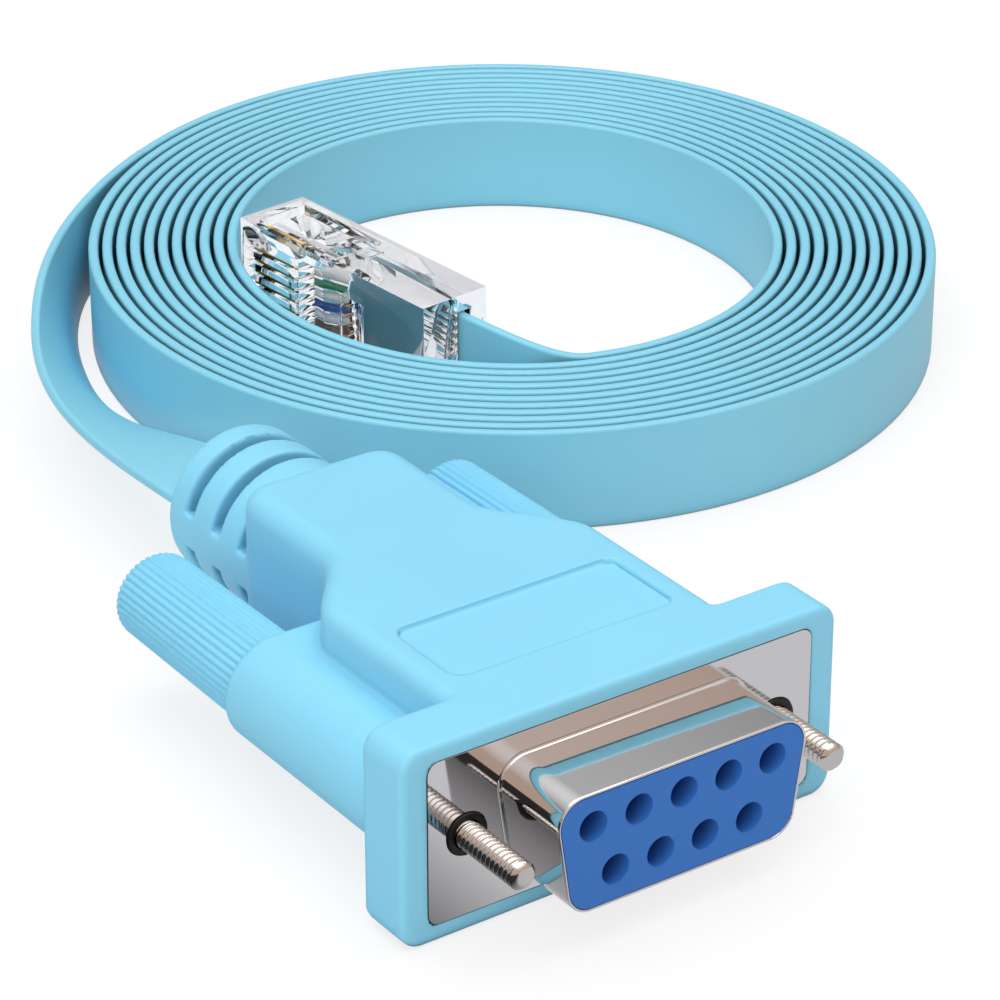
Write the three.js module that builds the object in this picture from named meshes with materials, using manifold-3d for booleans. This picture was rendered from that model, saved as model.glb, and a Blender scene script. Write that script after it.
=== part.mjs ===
// Flat console cable: a nine-way D connector in a moulded hood with two thumbscrews,
// a flat cable wound on its edge into a coil, and a clear eight-way modular plug.
// Millimetres, +Z up. The connector mates towards -Y and its plate stands on z = 0.
import * as THREE from 'three';
import { mergeVertices } from 'three/addons/utils/BufferGeometryUtils.js';
import Module from 'manifold-3d';

const wasm = await Module();
wasm.setup();

// Clearances
const GAP = 0.3;
const SLIDE_GAP = 0.15;

// Connector: depths run back from the mating face, heights are from the screw axis
const AXIS_HEIGHT = 7.35;
const SCREW_SPACING = 25;
const SHELL_TOP_WIDTH = 19.72;
const SHELL_BOTTOM_WIDTH = 17.25;
const SHELL_HEIGHT = 8.71;
const SHELL_CORNER = 2.3;
const SHELL_WALL = 0.35;
const FLANGE_WIDTH = 30.99;
const FLANGE_HEIGHT = 12.14;
const FLANGE_CORNER = 0.6;
const FLANGE_DEPTH = 6.48;
const FLANGE_THICKNESS = 0.7;
const CONTACT_PITCH = 3.6;
const ROW_SPACING = 3.85;
const CONTACTS_IN_ROW = [5, 4];
const BORE_RADIUS = 1.08;
const BORE_DEPTH = 9.5;
const SOCKET_WALL = 0.3;
const SOCKET_RECESS = 3;
const INSULATOR_LENGTH = 12;

// Hood
const PLATE_WIDTH = 34.76;
const PLATE_HEIGHT = 14.35;
const PLATE_THICKNESS = 4.55;
const PLATE_CORNER = 1.6;
const FLANGE_SUNK = 0.06;
const MOULD_ROUND = 0.8;
const BODY_WIDTH = 21.9;
const SHOULDER_START = 24.5;
const SHOULDER_END = 33;
const NECK_WIDTH = 12.9;
const NECK_END = 43.2;
const SLEEVE_RADIUS = 4;
const SLEEVE_END = 29.4;
const LABEL_WIDTH = 17.2;
const LABEL_LENGTH = 7;
const LABEL_MIDDLE = 16.3;
const LABEL_SUNK = 0.3;
const LABEL_CORNER = 0.9;

// Slotted strain relief, moulded with the hood
const BOOT_RADIUS = 5.55;
const BOOT_CORE_RADIUS = 4;
const BOOT_LENGTH = 11.4;
const BOOT_ROUND = 0.9;
const BOOT_ROOT = 2;
const SLOT_COUNT = 3;
const SLOT_WIDTH = 1;
const SLOT_PITCH = 3.55;
const SLOT_OFFSET = 0.7;
const UPPER_SLOT = [16, 164];
const LOWER_SLOT = [184, 356];

// Thumbscrews
const THREAD_RADIUS = 1.15;
const THREAD_CHAMFER = 0.25;
const TIP_DEPTH = 0.05;
const GROMMET_WALL = 0.4;
const GRIP_START = 13;
const GRIP_END = 45.3;
const GRIP_END_RADIUS = 3.09;
const GRIP_TAPER = 0.016;
const GRIP_ROUND = 0.6;
const GRIP_SOCKET = 6;

// Flat cable, wound on its edge
const CABLE_WIDTH = 8.38;
const CABLE_THICKNESS = 0.9;
const COIL_CENTRE = new THREE.Vector2(42.6, 80);
const COIL_INNER_RADIUS = 23.4;
const COIL_OVAL = 0.033;
const COIL_LONG_AXIS = 64;
const TURN_COUNT = 12;
const TURN_PITCH = 1.092;
const TURN_GROOVE = 0.3;
const COIL_STEPS = 36;
const TAIL_STEPS = 24;
const TAIL_LIFT_START = 0.36;
const TAIL_FROM_BEARING = 132.8;
const TAIL_BOW = [new THREE.Vector2(7.7, 97.87), new THREE.Vector2(-3.34, 81.69), new THREE.Vector2(0, 57.03)];
const LEAD_STEPS = 12;
const LEAD_TO_BEARING = 248;
const LEAD_BOW = [3.6, 3.2];

// Clear modular plug, lying on its side
const PLUG_WIDTH = 11.68;
const PLUG_THICKNESS = 6.5;
const PLUG_LENGTH = 23.4;
const PLUG_TIP = new THREE.Vector2(25.35, 89.3);
const PLUG_TURN = 5.6;
const CABLE_OFFSET = 0.9;
const CABLE_ENTRY = 12;
const WIRE_COUNT = 8;
const WIRE_PITCH = 1.02;
const WIRE_RADIUS = 0.38;
const WIRE_TIP = 6.3;
const BLADE_THICKNESS = 0.35;
const BLADE_LENGTH = 6.4;
const BLADE_HEIGHT = 2.8;
const BLADE_TIP = 1;
const BLADE_SUNK = 0.3;
const LATCH_WIDTH = 6.2;
const LATCH_THICKNESS = 0.9;
const LATCH_LENGTH = 13.5;
const LATCH_ROOT = 1;
const LATCH_RISE = 2;

const PLATE_FRONT = FLANGE_DEPTH - FLANGE_SUNK;
const PLATE_BACK = PLATE_FRONT + PLATE_THICKNESS;
const BOOT_END = NECK_END + BOOT_LENGTH;
const HOOD_MIDDLE = PLATE_HEIGHT / 2 - AXIS_HEIGHT;
const GROMMET_OUTER = THREAD_RADIUS + SLIDE_GAP + GROMMET_WALL;
const SIDES = { left: -1, right: 1 };

// Materials
const finish = (color, roughness, metalness = 0) => new THREE.MeshStandardMaterial({ color, roughness, metalness });
const skyPlastic = finish(0x8fd8f2, 0.5);
const chromePlate = finish(0xc9c4c0, 0.12, 1);
const bluePlastic = finish(0x3f78c0, 0.45);
const threadSteel = finish(0xb9b6b0, 0.25, 1);
const blackRubber = finish(0x0b0b0c, 0.7);
const goldPlate = finish(0xd8b35a, 0.3, 1);
const clearPlastic = new THREE.MeshStandardMaterial({ color: 0xe9f2f6, roughness: 0.05, transparent: true, opacity: 0.4 });
const wireColours = [0xf2f2ee, 0x8a5a33, 0xe9efe6, 0x2f6fb8, 0xe6edf4, 0x2f8f4e, 0xf0ece2, 0xd9862f];

// Closed geometry as a solid with its faces pointing out
function solid(geometry) {
  const bare = geometry.clone();
  bare.deleteAttribute('normal');
  bare.deleteAttribute('uv');
  const merged = mergeVertices(bare, 1e-4);
  const vertProperties = new Float32Array(merged.attributes.position.array);
  const triVerts = new Uint32Array(merged.index.array);
  if (enclosedVolume(vertProperties, triVerts) < 0) {
    for (let i = 0; i < triVerts.length; i += 3) {
      [triVerts[i + 1], triVerts[i + 2]] = [triVerts[i + 2], triVerts[i + 1]];
    }
  }
  return new wasm.Manifold(new wasm.Mesh({ numProp: 3, vertProperties, triVerts }));
}

function enclosedVolume(positions, triangles) {
  const corners = [new THREE.Vector3(), new THREE.Vector3(), new THREE.Vector3()];
  let volume = 0;
  for (let i = 0; i < triangles.length; i += 3) {
    corners.forEach((corner, k) => corner.fromArray(positions, 3 * triangles[i + k]));
    volume += corners[0].dot(corners[1].cross(corners[2])) / 6;
  }
  return volume;
}

function mesh(name, body, material) {
  const { vertProperties, triVerts } = body.getMesh();
  const geometry = new THREE.BufferGeometry();
  geometry.setAttribute('position', new THREE.BufferAttribute(new Float32Array(vertProperties), 3));
  geometry.setIndex(new THREE.BufferAttribute(new Uint32Array(triVerts), 1));
  geometry.computeVertexNormals();
  const made = new THREE.Mesh(geometry, material);
  made.name = name;
  return made;
}

// Outline with rounded corners, given anticlockwise
function roundedOutline(corners, radius) {
  const shape = new THREE.Shape();
  corners.forEach((corner, i) => {
    const before = corners[(i + corners.length - 1) % corners.length];
    const after = corners[(i + 1) % corners.length];
    const into = before.clone().sub(corner).normalize();
    const out = after.clone().sub(corner).normalize();
    const reach = radius / Math.tan(Math.acos(into.dot(out)) / 2);
    const start = corner.clone().addScaledVector(into, reach);
    const end = corner.clone().addScaledVector(out, reach);
    if (i === 0) shape.moveTo(start.x, start.y);
    else shape.lineTo(start.x, start.y);
    shape.quadraticCurveTo(corner.x, corner.y, end.x, end.y);
  });
  return shape;
}

function roundedRectangle(width, height, radius, middleX = 0, middleY = 0) {
  const at = (sx, sy) => new THREE.Vector2(middleX + (sx * width) / 2, middleY + (sy * height) / 2);
  return roundedOutline([at(-1, -1), at(1, -1), at(1, 1), at(-1, 1)], radius);
}

// The D outline, drawn in by an inset that is square to each side
function dOutline(inset) {
  const slope = (SHELL_TOP_WIDTH - SHELL_BOTTOM_WIDTH) / 2 / SHELL_HEIGHT;
  const half = SHELL_HEIGHT / 2 - inset;
  const middle = (SHELL_TOP_WIDTH + SHELL_BOTTOM_WIDTH) / 4 - inset * Math.hypot(1, slope);
  const top = middle + slope * half;
  const bottom = middle - slope * half;
  const corners = [[-bottom, -half], [bottom, -half], [top, half], [-top, half]];
  return roundedOutline(corners.map(([x, y]) => new THREE.Vector2(x, y)), SHELL_CORNER - inset);
}

// A drawn outline (across, up) run from one depth to another, with an optional rounded rim
function runBack(shape, from, to, round = 0, curveSegments = 4) {
  const geometry = new THREE.ExtrudeGeometry(shape, {
    depth: to - from - 2 * round,
    bevelEnabled: round > 0,
    bevelThickness: round,
    bevelSize: round,
    bevelOffset: -round,
    bevelSegments: 2,
    curveSegments,
  });
  return solid(geometry.rotateX(Math.PI / 2).translate(0, to - round, 0));
}

// A drawn outline (across, back) run up from one height to another
function runUp(shape, from, to, round = 0, curveSegments = 4) {
  const geometry = new THREE.ExtrudeGeometry(shape, {
    depth: to - from - 2 * round,
    bevelEnabled: round > 0,
    bevelThickness: round,
    bevelSize: round,
    bevelOffset: -round,
    bevelSegments: 2,
    curveSegments,
  });
  return solid(geometry.translate(0, 0, from + round));
}

// A profile of [radius, depth] turned about an axis that runs back at the given place
function turned(profile, steps, x = 0, z = 0) {
  const points = profile.map(([radius, depth]) => new THREE.Vector2(radius, depth));
  return solid(new THREE.LatheGeometry(points, steps).translate(x, 0, z));
}

function rod(radius, from, to, steps, x = 0, z = 0) {
  return turned([[0, from], [radius, from], [radius, to], [0, to]], steps, x, z);
}

function ring(inner, outer, from, to, steps, x = 0, z = 0) {
  return turned([[inner, from], [outer, from], [outer, to], [inner, to], [inner, from]], steps, x, z);
}

function contactPlaces() {
  return CONTACTS_IN_ROW.flatMap((count, row) => {
    const z = (row === 0 ? 1 : -1) * (ROW_SPACING / 2);
    return Array.from({ length: count }, (_, i) => ({ x: (i - (count - 1) / 2) * CONTACT_PITCH, z }));
  });
}

// Hood: flange plate, shouldered body, screw sleeves and strain relief in one moulding
function hoodPlan() {
  const body = BODY_WIDTH / 2;
  const neck = NECK_WIDTH / 2;
  const bend = (SHOULDER_END - SHOULDER_START) / 2;
  const plan = new THREE.Shape();
  plan.moveTo(-body, PLATE_FRONT + PLATE_CORNER);
  plan.lineTo(body, PLATE_FRONT + PLATE_CORNER);
  plan.lineTo(body, SHOULDER_START);
  plan.bezierCurveTo(body, SHOULDER_START + bend, neck, SHOULDER_END - bend, neck, SHOULDER_END);
  plan.lineTo(neck, NECK_END - MOULD_ROUND);
  plan.lineTo(neck - MOULD_ROUND, NECK_END);
  plan.lineTo(MOULD_ROUND - neck, NECK_END);
  plan.lineTo(-neck, NECK_END - MOULD_ROUND);
  plan.lineTo(-neck, SHOULDER_END);
  plan.bezierCurveTo(-neck, SHOULDER_END - bend, -body, SHOULDER_START + bend, -body, SHOULDER_START);
  return plan;
}

function slotSector([from, to], depth) {
  const start = THREE.MathUtils.degToRad(from);
  const end = THREE.MathUtils.degToRad(to);
  const sector = new THREE.Shape();
  sector.absarc(0, 0, BOOT_RADIUS + 1, start, end, false);
  sector.absarc(0, 0, BOOT_CORE_RADIUS, end, start, true);
  return runBack(sector, depth, depth + SLOT_WIDTH, 0, 16);
}

function makeHood() {
  const bottom = -AXIS_HEIGHT;
  const top = PLATE_HEIGHT - AXIS_HEIGHT;
  const plate = roundedRectangle(PLATE_WIDTH, PLATE_HEIGHT, PLATE_CORNER, 0, HOOD_MIDDLE);
  const sleeves = roundedRectangle(SCREW_SPACING + 2 * SLEEVE_RADIUS, 2 * SLEEVE_RADIUS, SLEEVE_RADIUS - 0.01);
  const boot = turned([
    [0, NECK_END - BOOT_ROOT],
    [BOOT_RADIUS, NECK_END - BOOT_ROOT],
    [BOOT_RADIUS, BOOT_END - BOOT_ROUND],
    [BOOT_RADIUS - 0.3 * BOOT_ROUND, BOOT_END - 0.3 * BOOT_ROUND],
    [BOOT_RADIUS - BOOT_ROUND, BOOT_END],
    [0, BOOT_END],
  ], 32);
  let hood = runBack(plate, PLATE_FRONT, PLATE_BACK, MOULD_ROUND)
    .add(runUp(hoodPlan(), bottom, top, MOULD_ROUND, 6))
    .add(runBack(sleeves, PLATE_FRONT + MOULD_ROUND, SLEEVE_END, 0, 8))
    .add(boot);
  for (let i = 0; i < SLOT_COUNT; i += 1) {
    const depth = NECK_END + SLOT_OFFSET + i * SLOT_PITCH;
    hood = hood.subtract(slotSector(UPPER_SLOT, depth)).subtract(slotSector(LOWER_SLOT, depth));
  }
  const label = roundedRectangle(LABEL_WIDTH, LABEL_LENGTH, LABEL_CORNER, 0, LABEL_MIDDLE);
  hood = hood.subtract(runUp(label, top - LABEL_SUNK, top + 1, 0, 2));
  const gripBore = GRIP_END_RADIUS + GRIP_TAPER * (GRIP_END - GRIP_START) + SLIDE_GAP;
  for (const side of Object.values(SIDES)) {
    const x = (side * SCREW_SPACING) / 2;
    hood = hood
      .subtract(rod(gripBore, GRIP_START - GAP, SLEEVE_END + 1, 28, x))
      .subtract(rod(THREAD_RADIUS + GAP, 0, GRIP_START, 16, x));
  }
  const flangePocket = roundedRectangle(FLANGE_WIDTH + 2 * GAP, FLANGE_HEIGHT + 2 * GAP, FLANGE_CORNER + GAP);
  const corePocket = dOutline(SHELL_WALL + SLIDE_GAP - GAP);
  return hood
    .subtract(runBack(flangePocket, 0, FLANGE_DEPTH + FLANGE_THICKNESS + GAP, 0, 2))
    .subtract(runBack(corePocket, 0, INSULATOR_LENGTH + GAP));
}

// Drawn metal shell: flange with the D-shaped skirt
function makeShell() {
  const flange = roundedRectangle(FLANGE_WIDTH, FLANGE_HEIGHT, FLANGE_CORNER);
  let shell = runBack(flange, FLANGE_DEPTH, FLANGE_DEPTH + FLANGE_THICKNESS, 0, 2)
    .add(runBack(dOutline(0), 0, FLANGE_DEPTH + FLANGE_THICKNESS / 2))
    .subtract(runBack(dOutline(SHELL_WALL), -1, FLANGE_DEPTH + FLANGE_THICKNESS + 1));
  for (const side of Object.values(SIDES)) {
    shell = shell.subtract(rod(GROMMET_OUTER + SLIDE_GAP, 5, 9, 24, (side * SCREW_SPACING) / 2));
  }
  return shell;
}

function makeInsulator() {
  let block = runBack(dOutline(SHELL_WALL + SLIDE_GAP), 0, INSULATOR_LENGTH);
  for (const { x, z } of contactPlaces()) block = block.subtract(rod(BORE_RADIUS, -1, BORE_DEPTH, 16, x, z));
  return block;
}

function makeConnector() {
  const group = new THREE.Group();
  group.add(mesh('hood', makeHood(), skyPlastic));
  group.add(mesh('connector_shell', makeShell(), chromePlate));
  group.add(mesh('insulator', makeInsulator(), bluePlastic));
  contactPlaces().forEach(({ x, z }, i) => {
    const outer = BORE_RADIUS - GAP;
    const sleeve = ring(outer - SOCKET_WALL, outer, SOCKET_RECESS, BORE_DEPTH - GAP, 10, x, z);
    group.add(mesh(`socket_contact_${i + 1}`, sleeve, goldPlate));
  });
  for (const [name, side] of Object.entries(SIDES)) {
    const x = (side * SCREW_SPACING) / 2;
    const grommet = ring(THREAD_RADIUS + SLIDE_GAP, GROMMET_OUTER, FLANGE_DEPTH, FLANGE_DEPTH + FLANGE_THICKNESS, 20, x);
    group.add(mesh(`screw_grommet_${name}`, grommet, blackRubber));
    group.add(mesh(`thumbscrew_grip_${name}`, makeGrip(x), skyPlastic));
    group.add(mesh(`jackscrew_${name}`, makeJackscrew(x), threadSteel));
  }
  return group;
}

function makeGrip(x) {
  const front = GRIP_END_RADIUS + GRIP_TAPER * (GRIP_END - GRIP_START);
  const grip = turned([
    [0, GRIP_START],
    [front, GRIP_START],
    [GRIP_END_RADIUS, GRIP_END - GRIP_ROUND],
    [GRIP_END_RADIUS - 0.3 * GRIP_ROUND, GRIP_END - 0.3 * GRIP_ROUND],
    [GRIP_END_RADIUS - GRIP_ROUND, GRIP_END],
    [0, GRIP_END],
  ], 28, x);
  return grip.subtract(rod(THREAD_RADIUS + GAP, GRIP_START - 1, GRIP_START + GRIP_SOCKET, 16, x));
}

function makeJackscrew(x) {
  return turned([
    [0, TIP_DEPTH],
    [THREAD_RADIUS - THREAD_CHAMFER, TIP_DEPTH],
    [THREAD_RADIUS, TIP_DEPTH + THREAD_CHAMFER],
    [THREAD_RADIUS, GRIP_START + GRIP_SOCKET - GAP],
    [0, GRIP_START + GRIP_SOCKET - GAP],
  ], 16, x);
}

// Flat cable along points { at, across }: at is the middle, across the unit vector of its width
function ribbon(points) {
  const halfWidth = CABLE_WIDTH / 2;
  const halfThickness = CABLE_THICKNESS / 2;
  const round = 0.6 * halfThickness;
  const section = [
    [halfWidth - round, halfThickness], [round - halfWidth, halfThickness],
    [-halfWidth, halfThickness - round], [-halfWidth, round - halfThickness],
    [round - halfWidth, -halfThickness], [halfWidth - round, -halfThickness],
    [halfWidth, round - halfThickness], [halfWidth, halfThickness - round],
  ];
  const positions = [];
  const triangles = [];
  const count = section.length;
  points.forEach(({ at, across }, i) => {
    const before = points[Math.max(i - 1, 0)].at;
    const after = points[Math.min(i + 1, points.length - 1)].at;
    const through = across.clone().cross(after.clone().sub(before)).normalize();
    for (const [a, b] of section) {
      const corner = at.clone().addScaledVector(across, a).addScaledVector(through, b);
      positions.push(corner.x, corner.y, corner.z);
    }
  });
  for (let i = 0; i < points.length - 1; i += 1) {
    for (let k = 0; k < count; k += 1) {
      const [a, b] = [i * count + k, i * count + ((k + 1) % count)];
      triangles.push(a, b, b + count, a, b + count, a + count);
    }
  }
  const last = (points.length - 1) * count;
  for (let k = 1; k < count - 1; k += 1) triangles.push(0, k + 1, k, last, last + k, last + k + 1);
  const geometry = new THREE.BufferGeometry();
  geometry.setAttribute('position', new THREE.BufferAttribute(new Float32Array(positions), 3));
  geometry.setIndex(triangles);
  return solid(geometry);
}

// A point beside the coil at a compass bearing, at a given step off its inner or outer face
function besideCoil(radius, bearing, step) {
  const turn = THREE.MathUtils.degToRad(bearing);
  const long = THREE.MathUtils.degToRad(COIL_LONG_AXIS);
  const reach = radius * (1 + COIL_OVAL * Math.cos(2 * (turn - long))) + step;
  return COIL_CENTRE.clone().add(new THREE.Vector2(reach * Math.cos(turn), reach * Math.sin(turn)));
}

// The free stretch: it stands on its edge at the coil and lies flat where it enters the boot
function makeTail() {
  const smooth = (value, from, to) => THREE.MathUtils.smoothstep(value, from, to);
  const end = new THREE.Vector2(0, BOOT_END + GAP);
  const outer = COIL_INNER_RADIUS + TURN_COUNT * TURN_PITCH;
  const from = besideCoil(outer, TAIL_FROM_BEARING, GAP + CABLE_THICKNESS / 2);
  const controls = [from, ...TAIL_BOW, end];
  const path = (t) => controls.reduce((sum, point, i) => {
    const weight = [1, 4, 6, 4, 1][i] * t ** i * (1 - t) ** (4 - i);
    return sum.addScaledVector(point, weight);
  }, new THREE.Vector2());
  const steps = Array.from({ length: TAIL_STEPS + 1 }, (_, i) => i / TAIL_STEPS);
  const run = steps.map(() => 0);
  for (let i = 1; i <= TAIL_STEPS; i += 1) run[i] = run[i - 1] + path(steps[i]).distanceTo(path(steps[i - 1]));
  const points = [];
  for (let i = 0; i <= TAIL_STEPS; i += 1) {
    const t = steps[i];
    const along = run[i] / run[TAIL_STEPS];
    const here = path(t);
    const ahead = path(Math.min(t + 0.01, 1)).sub(path(Math.max(t - 0.01, 0))).normalize();
    const roll = (Math.PI / 2) * smooth(along, 0, 1);
    const lift = smooth(along, TAIL_LIFT_START, 1) * AXIS_HEIGHT;
    const height = (CABLE_WIDTH / 2) * Math.cos(roll) + (CABLE_THICKNESS / 2) * Math.sin(roll) * (1 - along) + lift;
    const outward = new THREE.Vector3(-Math.abs(ahead.y), Math.sign(-ahead.y) * ahead.x, 0);
    const across = new THREE.Vector3(0, 0, Math.cos(roll)).addScaledVector(outward, Math.sin(roll));
    points.push({ at: new THREE.Vector3(here.x, here.y, height - AXIS_HEIGHT), across });
  }
  return ribbon(points);
}

// The wound turns as one ring, slightly oval, with a groove between turns on both ends
function makeCoil() {
  const face = (height) => {
    const points = [];
    for (let turn = 0; turn < TURN_COUNT; turn += 1) {
      const inner = COIL_INNER_RADIUS + turn * TURN_PITCH;
      const groove = height > 0 ? height - TURN_GROOVE : height + TURN_GROOVE;
      points.push([inner + (turn > 0 ? TURN_GROOVE / 2 : 0), height]);
      points.push([inner + TURN_PITCH - (turn < TURN_COUNT - 1 ? TURN_GROOVE / 2 : 0), height]);
      if (turn < TURN_COUNT - 1) points.push([inner + TURN_PITCH, groove]);
    }
    return points;
  };
  const half = CABLE_WIDTH / 2;
  const profile = [...face(-half), ...face(half).reverse()];
  profile.push(profile[0]);
  const points = profile.map(([radius, height]) => new THREE.Vector2(radius, height));
  const geometry = new THREE.LatheGeometry(points, COIL_STEPS).rotateX(Math.PI / 2);
  geometry.scale(1 + COIL_OVAL, 1 - COIL_OVAL, 1);
  geometry.rotateZ(THREE.MathUtils.degToRad(COIL_LONG_AXIS));
  return solid(geometry.translate(COIL_CENTRE.x, COIL_CENTRE.y, half - AXIS_HEIGHT));
}

// Plug frame: +Y is its tip, +X its latch side, z = 0 what it lies on
function plugPoint(x, y, z = 0) {
  const turn = THREE.MathUtils.degToRad(PLUG_TURN);
  const place = new THREE.Vector2(x, y).rotateAround(new THREE.Vector2(), turn).add(PLUG_TIP);
  return new THREE.Vector3(place.x, place.y, z - AXIS_HEIGHT);
}

// From inside the plug to the first turn of the coil
function makeLead() {
  const start = plugPoint(CABLE_OFFSET, -CABLE_ENTRY - GAP, PLUG_WIDTH / 2);
  const mouth = plugPoint(CABLE_OFFSET, -PLUG_LENGTH, PLUG_WIDTH / 2);
  const heading = mouth.clone().sub(start).normalize();
  const beside = besideCoil(COIL_INNER_RADIUS, LEAD_TO_BEARING, -GAP - CABLE_THICKNESS / 2);
  const end = new THREE.Vector3(beside.x, beside.y, CABLE_WIDTH / 2 - AXIS_HEIGHT);
  const radial = new THREE.Vector2(end.x, end.y).sub(COIL_CENTRE);
  const tangent = new THREE.Vector3(-radial.y, radial.x, 0).normalize();
  const bend = new THREE.CubicBezierCurve3(
    mouth,
    mouth.clone().addScaledVector(heading, LEAD_BOW[0]),
    end.clone().addScaledVector(tangent, -LEAD_BOW[1]),
    end,
  );
  const up = new THREE.Vector3(0, 0, 1);
  const points = [{ at: start, across: up }];
  for (let i = 0; i <= LEAD_STEPS; i += 1) points.push({ at: bend.getPoint(i / LEAD_STEPS), across: up });
  return ribbon(points);
}

function box(x0, x1, y0, y1, z0, z1) {
  const geometry = new THREE.BoxGeometry(x1 - x0, y1 - y0, z1 - z0);
  return solid(geometry.translate((x0 + x1) / 2, (y0 + y1) / 2, (z0 + z1) / 2));
}

function wireHeight(i) {
  return PLUG_WIDTH / 2 + (i - (WIRE_COUNT - 1) / 2) * WIRE_PITCH;
}

// Clear body with its latch, its cable entry and a slot for each blade
function makePlugBody() {
  const side = PLUG_THICKNESS / 2;
  const [entryX, entryZ] = [CABLE_THICKNESS / 2 + GAP, CABLE_WIDTH / 2 + GAP];
  const middle = PLUG_WIDTH / 2;
  const latch = new THREE.Shape();
  latch.moveTo(side - 0.2, -LATCH_ROOT);
  latch.lineTo(side - 0.2, -LATCH_ROOT - 2 * LATCH_THICKNESS);
  latch.lineTo(side + LATCH_RISE, -LATCH_LENGTH);
  latch.lineTo(side + LATCH_RISE + LATCH_THICKNESS, -LATCH_LENGTH);
  latch.lineTo(side + LATCH_THICKNESS, -LATCH_ROOT - LATCH_THICKNESS);
  latch.lineTo(side, -LATCH_ROOT);
  let body = box(-side, side, -PLUG_LENGTH, 0, 0, PLUG_WIDTH)
    .add(runUp(latch, middle - LATCH_WIDTH / 2, middle + LATCH_WIDTH / 2));
  const inner = WIRE_TIP - GAP;
  body = body.subtract(
    box(CABLE_OFFSET - entryX, CABLE_OFFSET + entryX, -PLUG_LENGTH - 1, -inner, middle - entryZ, middle + entryZ),
  );
  const root = BLADE_SUNK + BLADE_HEIGHT + SLIDE_GAP - side;
  const half = BLADE_THICKNESS / 2 + SLIDE_GAP;
  for (let i = 0; i < WIRE_COUNT; i += 1) {
    const z = wireHeight(i);
    const [back, front] = [-BLADE_TIP - BLADE_LENGTH - SLIDE_GAP, SLIDE_GAP - BLADE_TIP];
    body = body.subtract(box(-side - 1, root, back, front, z - half, z + half));
  }
  return body;
}

function makePlug() {
  const group = new THREE.Group();
  group.position.copy(plugPoint(0, 0));
  group.rotation.z = THREE.MathUtils.degToRad(PLUG_TURN);
  group.add(mesh('plug_body', makePlugBody(), clearPlastic));
  const face = BLADE_SUNK - PLUG_THICKNESS / 2;
  for (let i = 0; i < WIRE_COUNT; i += 1) {
    const z = wireHeight(i);
    const half = BLADE_THICKNESS / 2;
    const blade = box(face, face + BLADE_HEIGHT, -BLADE_TIP - BLADE_LENGTH, -BLADE_TIP, z - half, z + half);
    const wire = rod(WIRE_RADIUS, -CABLE_ENTRY, -WIRE_TIP, 8, CABLE_OFFSET, z);
    group.add(mesh(`plug_blade_${i + 1}`, blade, goldPlate));
    group.add(mesh(`plug_wire_${i + 1}`, wire, finish(wireColours[i], 0.5)));
  }
  return group;
}

const cable = new THREE.Group();
cable.add(makeConnector());
cable.add(mesh('cable_tail', makeTail(), skyPlastic));
cable.add(mesh('cable_coil', makeCoil(), skyPlastic));
cable.add(mesh('plug_lead', makeLead(), skyPlastic));
cable.add(makePlug());
cable.position.set(0, -BOOT_END / 2, AXIS_HEIGHT);
cable.updateMatrixWorld(true);

export default cable;
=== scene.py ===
"""Flat console cable: D connector in a moulded hood, two thumbscrews, a wound flat cable and a clear plug.

Sizes are in millimetres from the connector's own datum: the mating face is y = 0 and the screw axis is z = 0.
Every piece is moved once, by part_frame, into the part's frame in metres.
"""

from __future__ import annotations

import logging
import math
from dataclasses import dataclass, field
from enum import Enum
from typing import Callable, Sequence

import bmesh
import bpy
import numpy as np
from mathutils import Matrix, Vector

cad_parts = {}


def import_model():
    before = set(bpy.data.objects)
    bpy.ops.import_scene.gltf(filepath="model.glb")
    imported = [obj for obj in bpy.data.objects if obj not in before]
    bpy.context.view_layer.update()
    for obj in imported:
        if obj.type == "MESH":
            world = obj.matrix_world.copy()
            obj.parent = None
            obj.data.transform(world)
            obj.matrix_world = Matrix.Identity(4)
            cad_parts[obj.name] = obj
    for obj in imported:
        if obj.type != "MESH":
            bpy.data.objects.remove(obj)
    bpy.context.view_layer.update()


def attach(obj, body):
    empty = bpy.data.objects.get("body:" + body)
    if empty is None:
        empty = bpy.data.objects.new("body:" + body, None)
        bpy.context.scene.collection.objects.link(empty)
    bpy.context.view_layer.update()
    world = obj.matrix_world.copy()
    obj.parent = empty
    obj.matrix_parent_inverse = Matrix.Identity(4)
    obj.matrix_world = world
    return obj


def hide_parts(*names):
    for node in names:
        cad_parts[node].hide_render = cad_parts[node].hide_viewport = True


log = logging.getLogger("console_cable")

MM = 0.001
AXIS_HEIGHT = 7.35
DATUM = (0.0, 27.3, -AXIS_HEIGHT)
SCREW_SPACING = 25.0

Field = Callable[[np.ndarray], np.ndarray]
Colour = tuple[float, float, float]


class Side(Enum):
    """The two thumbscrews, by the side of the connector that they are on."""

    LEFT = -1
    RIGHT = 1

    @property
    def x(self) -> float:
        """Where the screw's axis is, in millimetres."""
        return self.value * SCREW_SPACING / 2

    @property
    def label(self) -> str:
        """The side's name in node and body names."""
        return self.name.lower()


class Body(Enum):
    """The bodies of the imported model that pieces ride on."""

    CABLE = "cable"
    THUMBSCREW_LEFT = "thumbscrew_left"
    THUMBSCREW_RIGHT = "thumbscrew_right"

    @classmethod
    def thumbscrew(cls, side: Side) -> "Body":
        """The body of one side's thumbscrew."""
        return cls.THUMBSCREW_LEFT if side is Side.LEFT else cls.THUMBSCREW_RIGHT


def part_frame(points: np.ndarray | Sequence[Sequence[float]]) -> np.ndarray:
    """Move points from the connector's datum into the part's frame.

    Args:
        points: Points in millimetres from the connector's datum.

    Returns:
        The same points in metres, in the part's frame.
    """
    return (np.asarray(points, dtype=float) - DATUM) * MM


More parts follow.
